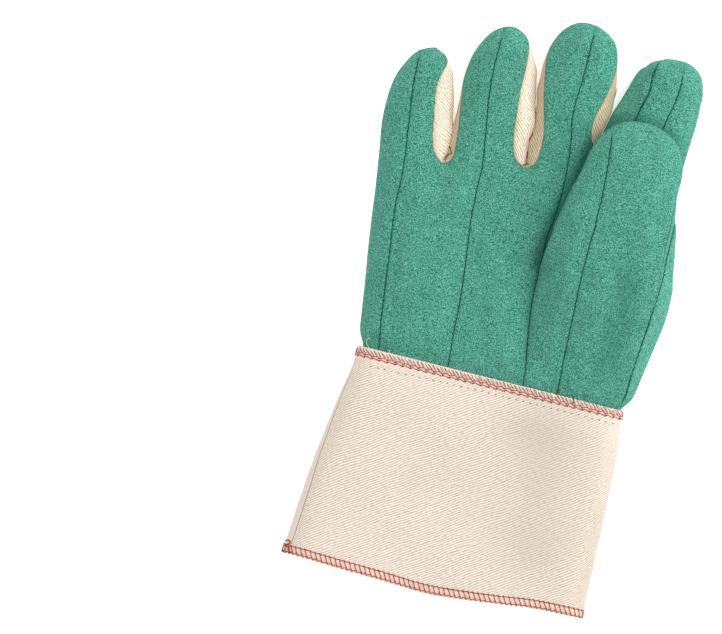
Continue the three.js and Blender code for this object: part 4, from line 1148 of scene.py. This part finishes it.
# The piece, its walk, pitch, strands, number for the noise, looseness and radius
OVERLOCK = (
    ("wrist_chain_lower", wrist, WRIST_PITCH, [LOWER_CHAIN], 0, 0.3, 0.17),
    ("wrist_chain_middle", wrist, WRIST_PITCH, [MIDDLE_CHAIN], 3, 0.3, 0.15),
    ("wrist_wraps", wrist, WRIST_PITCH, WRAPS, 5, 0.6, 0.14),
    ("wrist_yarn_ends", wrist, WRIST_PITCH, YARN_ENDS, 7, 1.1, 0.46),
    ("hem_chain_upper", hem, HEM_PITCH, [UPPER_CHAIN], 11, 0.3, 0.19),
    ("hem_chain_edge", hem, HEM_PITCH, [EDGE_CHAIN], 13, 0.3, 0.17),
    ("hem_cross_threads", hem, HEM_PITCH, CROSS_THREADS, 17, 0.4, 0.19),
)


def lay(walk, pitch, drawing, seed, looseness):
    """A drawing of one stitch repeated round a walk, each time a little different."""
    count = round(walk.length / pitch)
    step = walk.length / count
    laid = []
    for number in range(count):
        for strand in drawing:
            places = []
            for along, up, lift in strand:
                wobble = looseness * noise.noise(Vector((number * 1.7, up * 0.6, seed + strand[0][0])))
                at = (number + along / pitch) * step + wobble
                places.append(walk.at(at, up + wobble * 0.5, lift))
            laid.append(places)
    return laid


for name, walk, pitch, drawing, seed, looseness, radius in OVERLOCK:
    strands = lay(walk, pitch, drawing, seed, looseness)
    chained = "chain" in name
    yarn = name == "wrist_yarn_ends"
    threads(name, [sum(strands, [])] if chained else strands, radius, CREAM_YARN if yarn else RED_THREAD,
            closed=chained, uneven_ends=yarn)


# %% [markdown]
# ## Holes and loose ends
#
# A row of needle holes runs below the wrist seam, where the cuff is stitched to its facing. Where the
# overlock machine was cut off, thread ends stick out: curly cream ones over the palm, and a short red tail
# at the corner of the hem.

# %% Needle holes and thread ends
HOLE_LENGTH = 0.7
HOLE_STEP = 3.9
HOLE_LINE = [(-75, -7), (-60, -6.8), (-30, -5.9), (0, -5.4), (75, -5.2)]
LOOSE_CREAM = (
    [(-66.6, 0.6), (-67.4, 1.8), (-69.2, 3.2), (-70.8, 4.6), (-71.4, 6.2), (-70.9, 7.6), (-70.0, 8.4)],
    [(-67.6, 3.1), (-67.1, 2.9), (-65.4, 2.2), (-63.7, 1.3), (-62.0, 0.3)],
    [(-58.2, 4.6), (-58.0, 3.7), (-57.2, 2.6), (-55.1, 1.7), (-54.3, 1.3)],
)
GREEN_END = [(45.6, 4.8), (46.1, 3.9), (46.6, 2.2), (47.0, 0.5)]
# The overlock's red tail at the hem's corner, and a knot at the foot of the thumb's quilt line
RED_ENDS = (
    [(-87.9, -111.3), (-86, -110.1), (-84.8, -111.9), (-86.7, -113.1), (-87.6, -114.1), (-85.3, -114.2),
     (-85.2, -116.3), (-83.6, -116.9)],
    [(36.9, 4.5), (37.5, 5.1), (38.1, 4.4), (37.4, 3.8)],
)
# Where the walls between the fingers are gathered at the foot of each crotch, each with a painted shadow line
# of brown strand
CROTCH_FOLD_SHADOWS = (
    [(-53, 121), (-51.6, 118.6), (-50.6, 117.4), (-52.2, 116.6), (-53.6, 114.6), (-54.5, 112.8)],
    [(-12.6, 119.8), (-10.8, 121.4), (-8.8, 122.2), (-6.8, 121.4)],
)


def lie(path, lift):
    """A strand that lies on the cloth along a short path of the pattern."""
    return [place for place in (drop(x, y, lift) for x, y in path) if place is not None]


holes = []
for side in (UP, DOWN):
    holes += running_stitches(lambda x: (x, look_up(HOLE_LINE, x)), -66, 72, 0.0, side,
                              HOLE_LENGTH, HOLE_STEP, turned=True)
# Painted shadow lines: dark strands along the folds between the walls, higher up
wall_fold_shadows = [[in_frame(look_up(fold, y), y, WALL_HEIGHT + 1.5)
          for y in range(round(fold[0][0]) + 4, top + 6, 2)] for _, _, top, fold in CROTCHES[:2]]
threads("needle_holes", holes, 0.3, TAN_THREAD)
threads("loose_cream_ends", [lie(end, 0.3) for end in LOOSE_CREAM], 0.16, CREAM_YARN)
threads("loose_green_end", [lie(GREEN_END, 0.4)], 0.26, GREEN_THREAD)
threads("red_thread_ends", [lie(end, 0.5) for end in RED_ENDS], 0.3, RED_THREAD)
threads("crotch_fold_shadows", [lie(fold, 0.1) for fold in CROTCH_FOLD_SHADOWS] + wall_fold_shadows, 0.26, FOLD_SHADOW_STRAND)

# %% [markdown]
# ## The strap's topstitching
#
# The knuckle strap is sewn to the fingers' backs along both of its long edges, with small tan stitches that
# show on the underside.

# %% The strap's topstitching
TOPSTITCH = 2.2
TOPSTITCH_STEP = 3.2

topstitches = []
for line in STRAP_TOPSTITCHES:
    topstitches += running_stitches(lambda x: (x, line), -84, 31, 0.1, DOWN, TOPSTITCH, TOPSTITCH_STEP,
                                    turned=True)
threads("strap_topstitching", topstitches, 0.22, TAN_THREAD)

# %% [markdown]
# ## Stained cloth
#
# Between the threads the cream cloth looks salmon pink: loose red fibres cover it. A value on each point of
# the cuff says how much of this pink it has, and the twill material mixes it in.

# %% The pink under the threads
stained = mark(twill["cuff"], "stained")
for vert in twill["cuff"].data.vertices:
    x, y = pattern(vert.co)
    under_wrist = smooth((y - wrist_line(x) + 0.35) / 0.6) * smooth((1.7 - y) / 0.9)
    above_hem = 1 - smooth((y - look_up(HEM, x) - 4.2) / 1.0)
    stained.data[vert.index].value = 0.85 * max(under_wrist, above_hem)
print("stained points:", sum(value.value > 0.4 for value in stained.data))

# %% [markdown]
# ## Floor and light
#
# The glove lies on plain white paper under soft studio light: a bright room, a large key lamp at the upper
# right, a lower one at the right that shades each fold to the left, and a weak one at the left that fills
# the shadows.

# %% Floor and light
bpy.context.scene.view_settings.view_transform = "Standard"

bm = bmesh.new()
bmesh.ops.create_grid(bm, x_segments=1, y_segments=1, size=3.0)
floor_mesh = bpy.data.meshes.new("floor")
bm.to_mesh(floor_mesh)
bm.free()
floor = put("floor", floor_mesh)
WHITE = srgb(255, 255, 255)
paper, tree, shader = new_material("white paper", roughness=0.9)
grain = lumps(tree, add(tree, "TexCoord").outputs["Object"], 900.0)
fill(tree, shader, {"Base Color": mix(tree, grain, srgb(250, 250, 250), WHITE),
                    "Emission Color": WHITE, "Emission Strength": 0.45})
wear(floor, paper)

room = bpy.data.worlds.new("room")
bpy.context.scene.world = room
room.use_nodes = True
fill(room.node_tree, room.node_tree.nodes["Background"], {"Color": WHITE, "Strength": 0.64})

# The lamps' place, size and power
LAMPS = {
    "key": ((1.0, 1.2, 2.0), 1.2, 26),
    "side": ((2.2, 0.6, 1.1), 0.9, 21),
    "fill": ((-1.6, -0.6, 2.0), 1.5, 8),
}
for name, (place, size, power) in LAMPS.items():
    light = bpy.data.lights.new(name, "AREA")
    light.size = size
    light.energy = power
    lamp = put(name, light)
    lamp.location = place
    lamp.rotation_euler = (-Vector(place)).to_track_quat("-Z", "Y").to_euler()
print(len(LAMPS), "lamps")
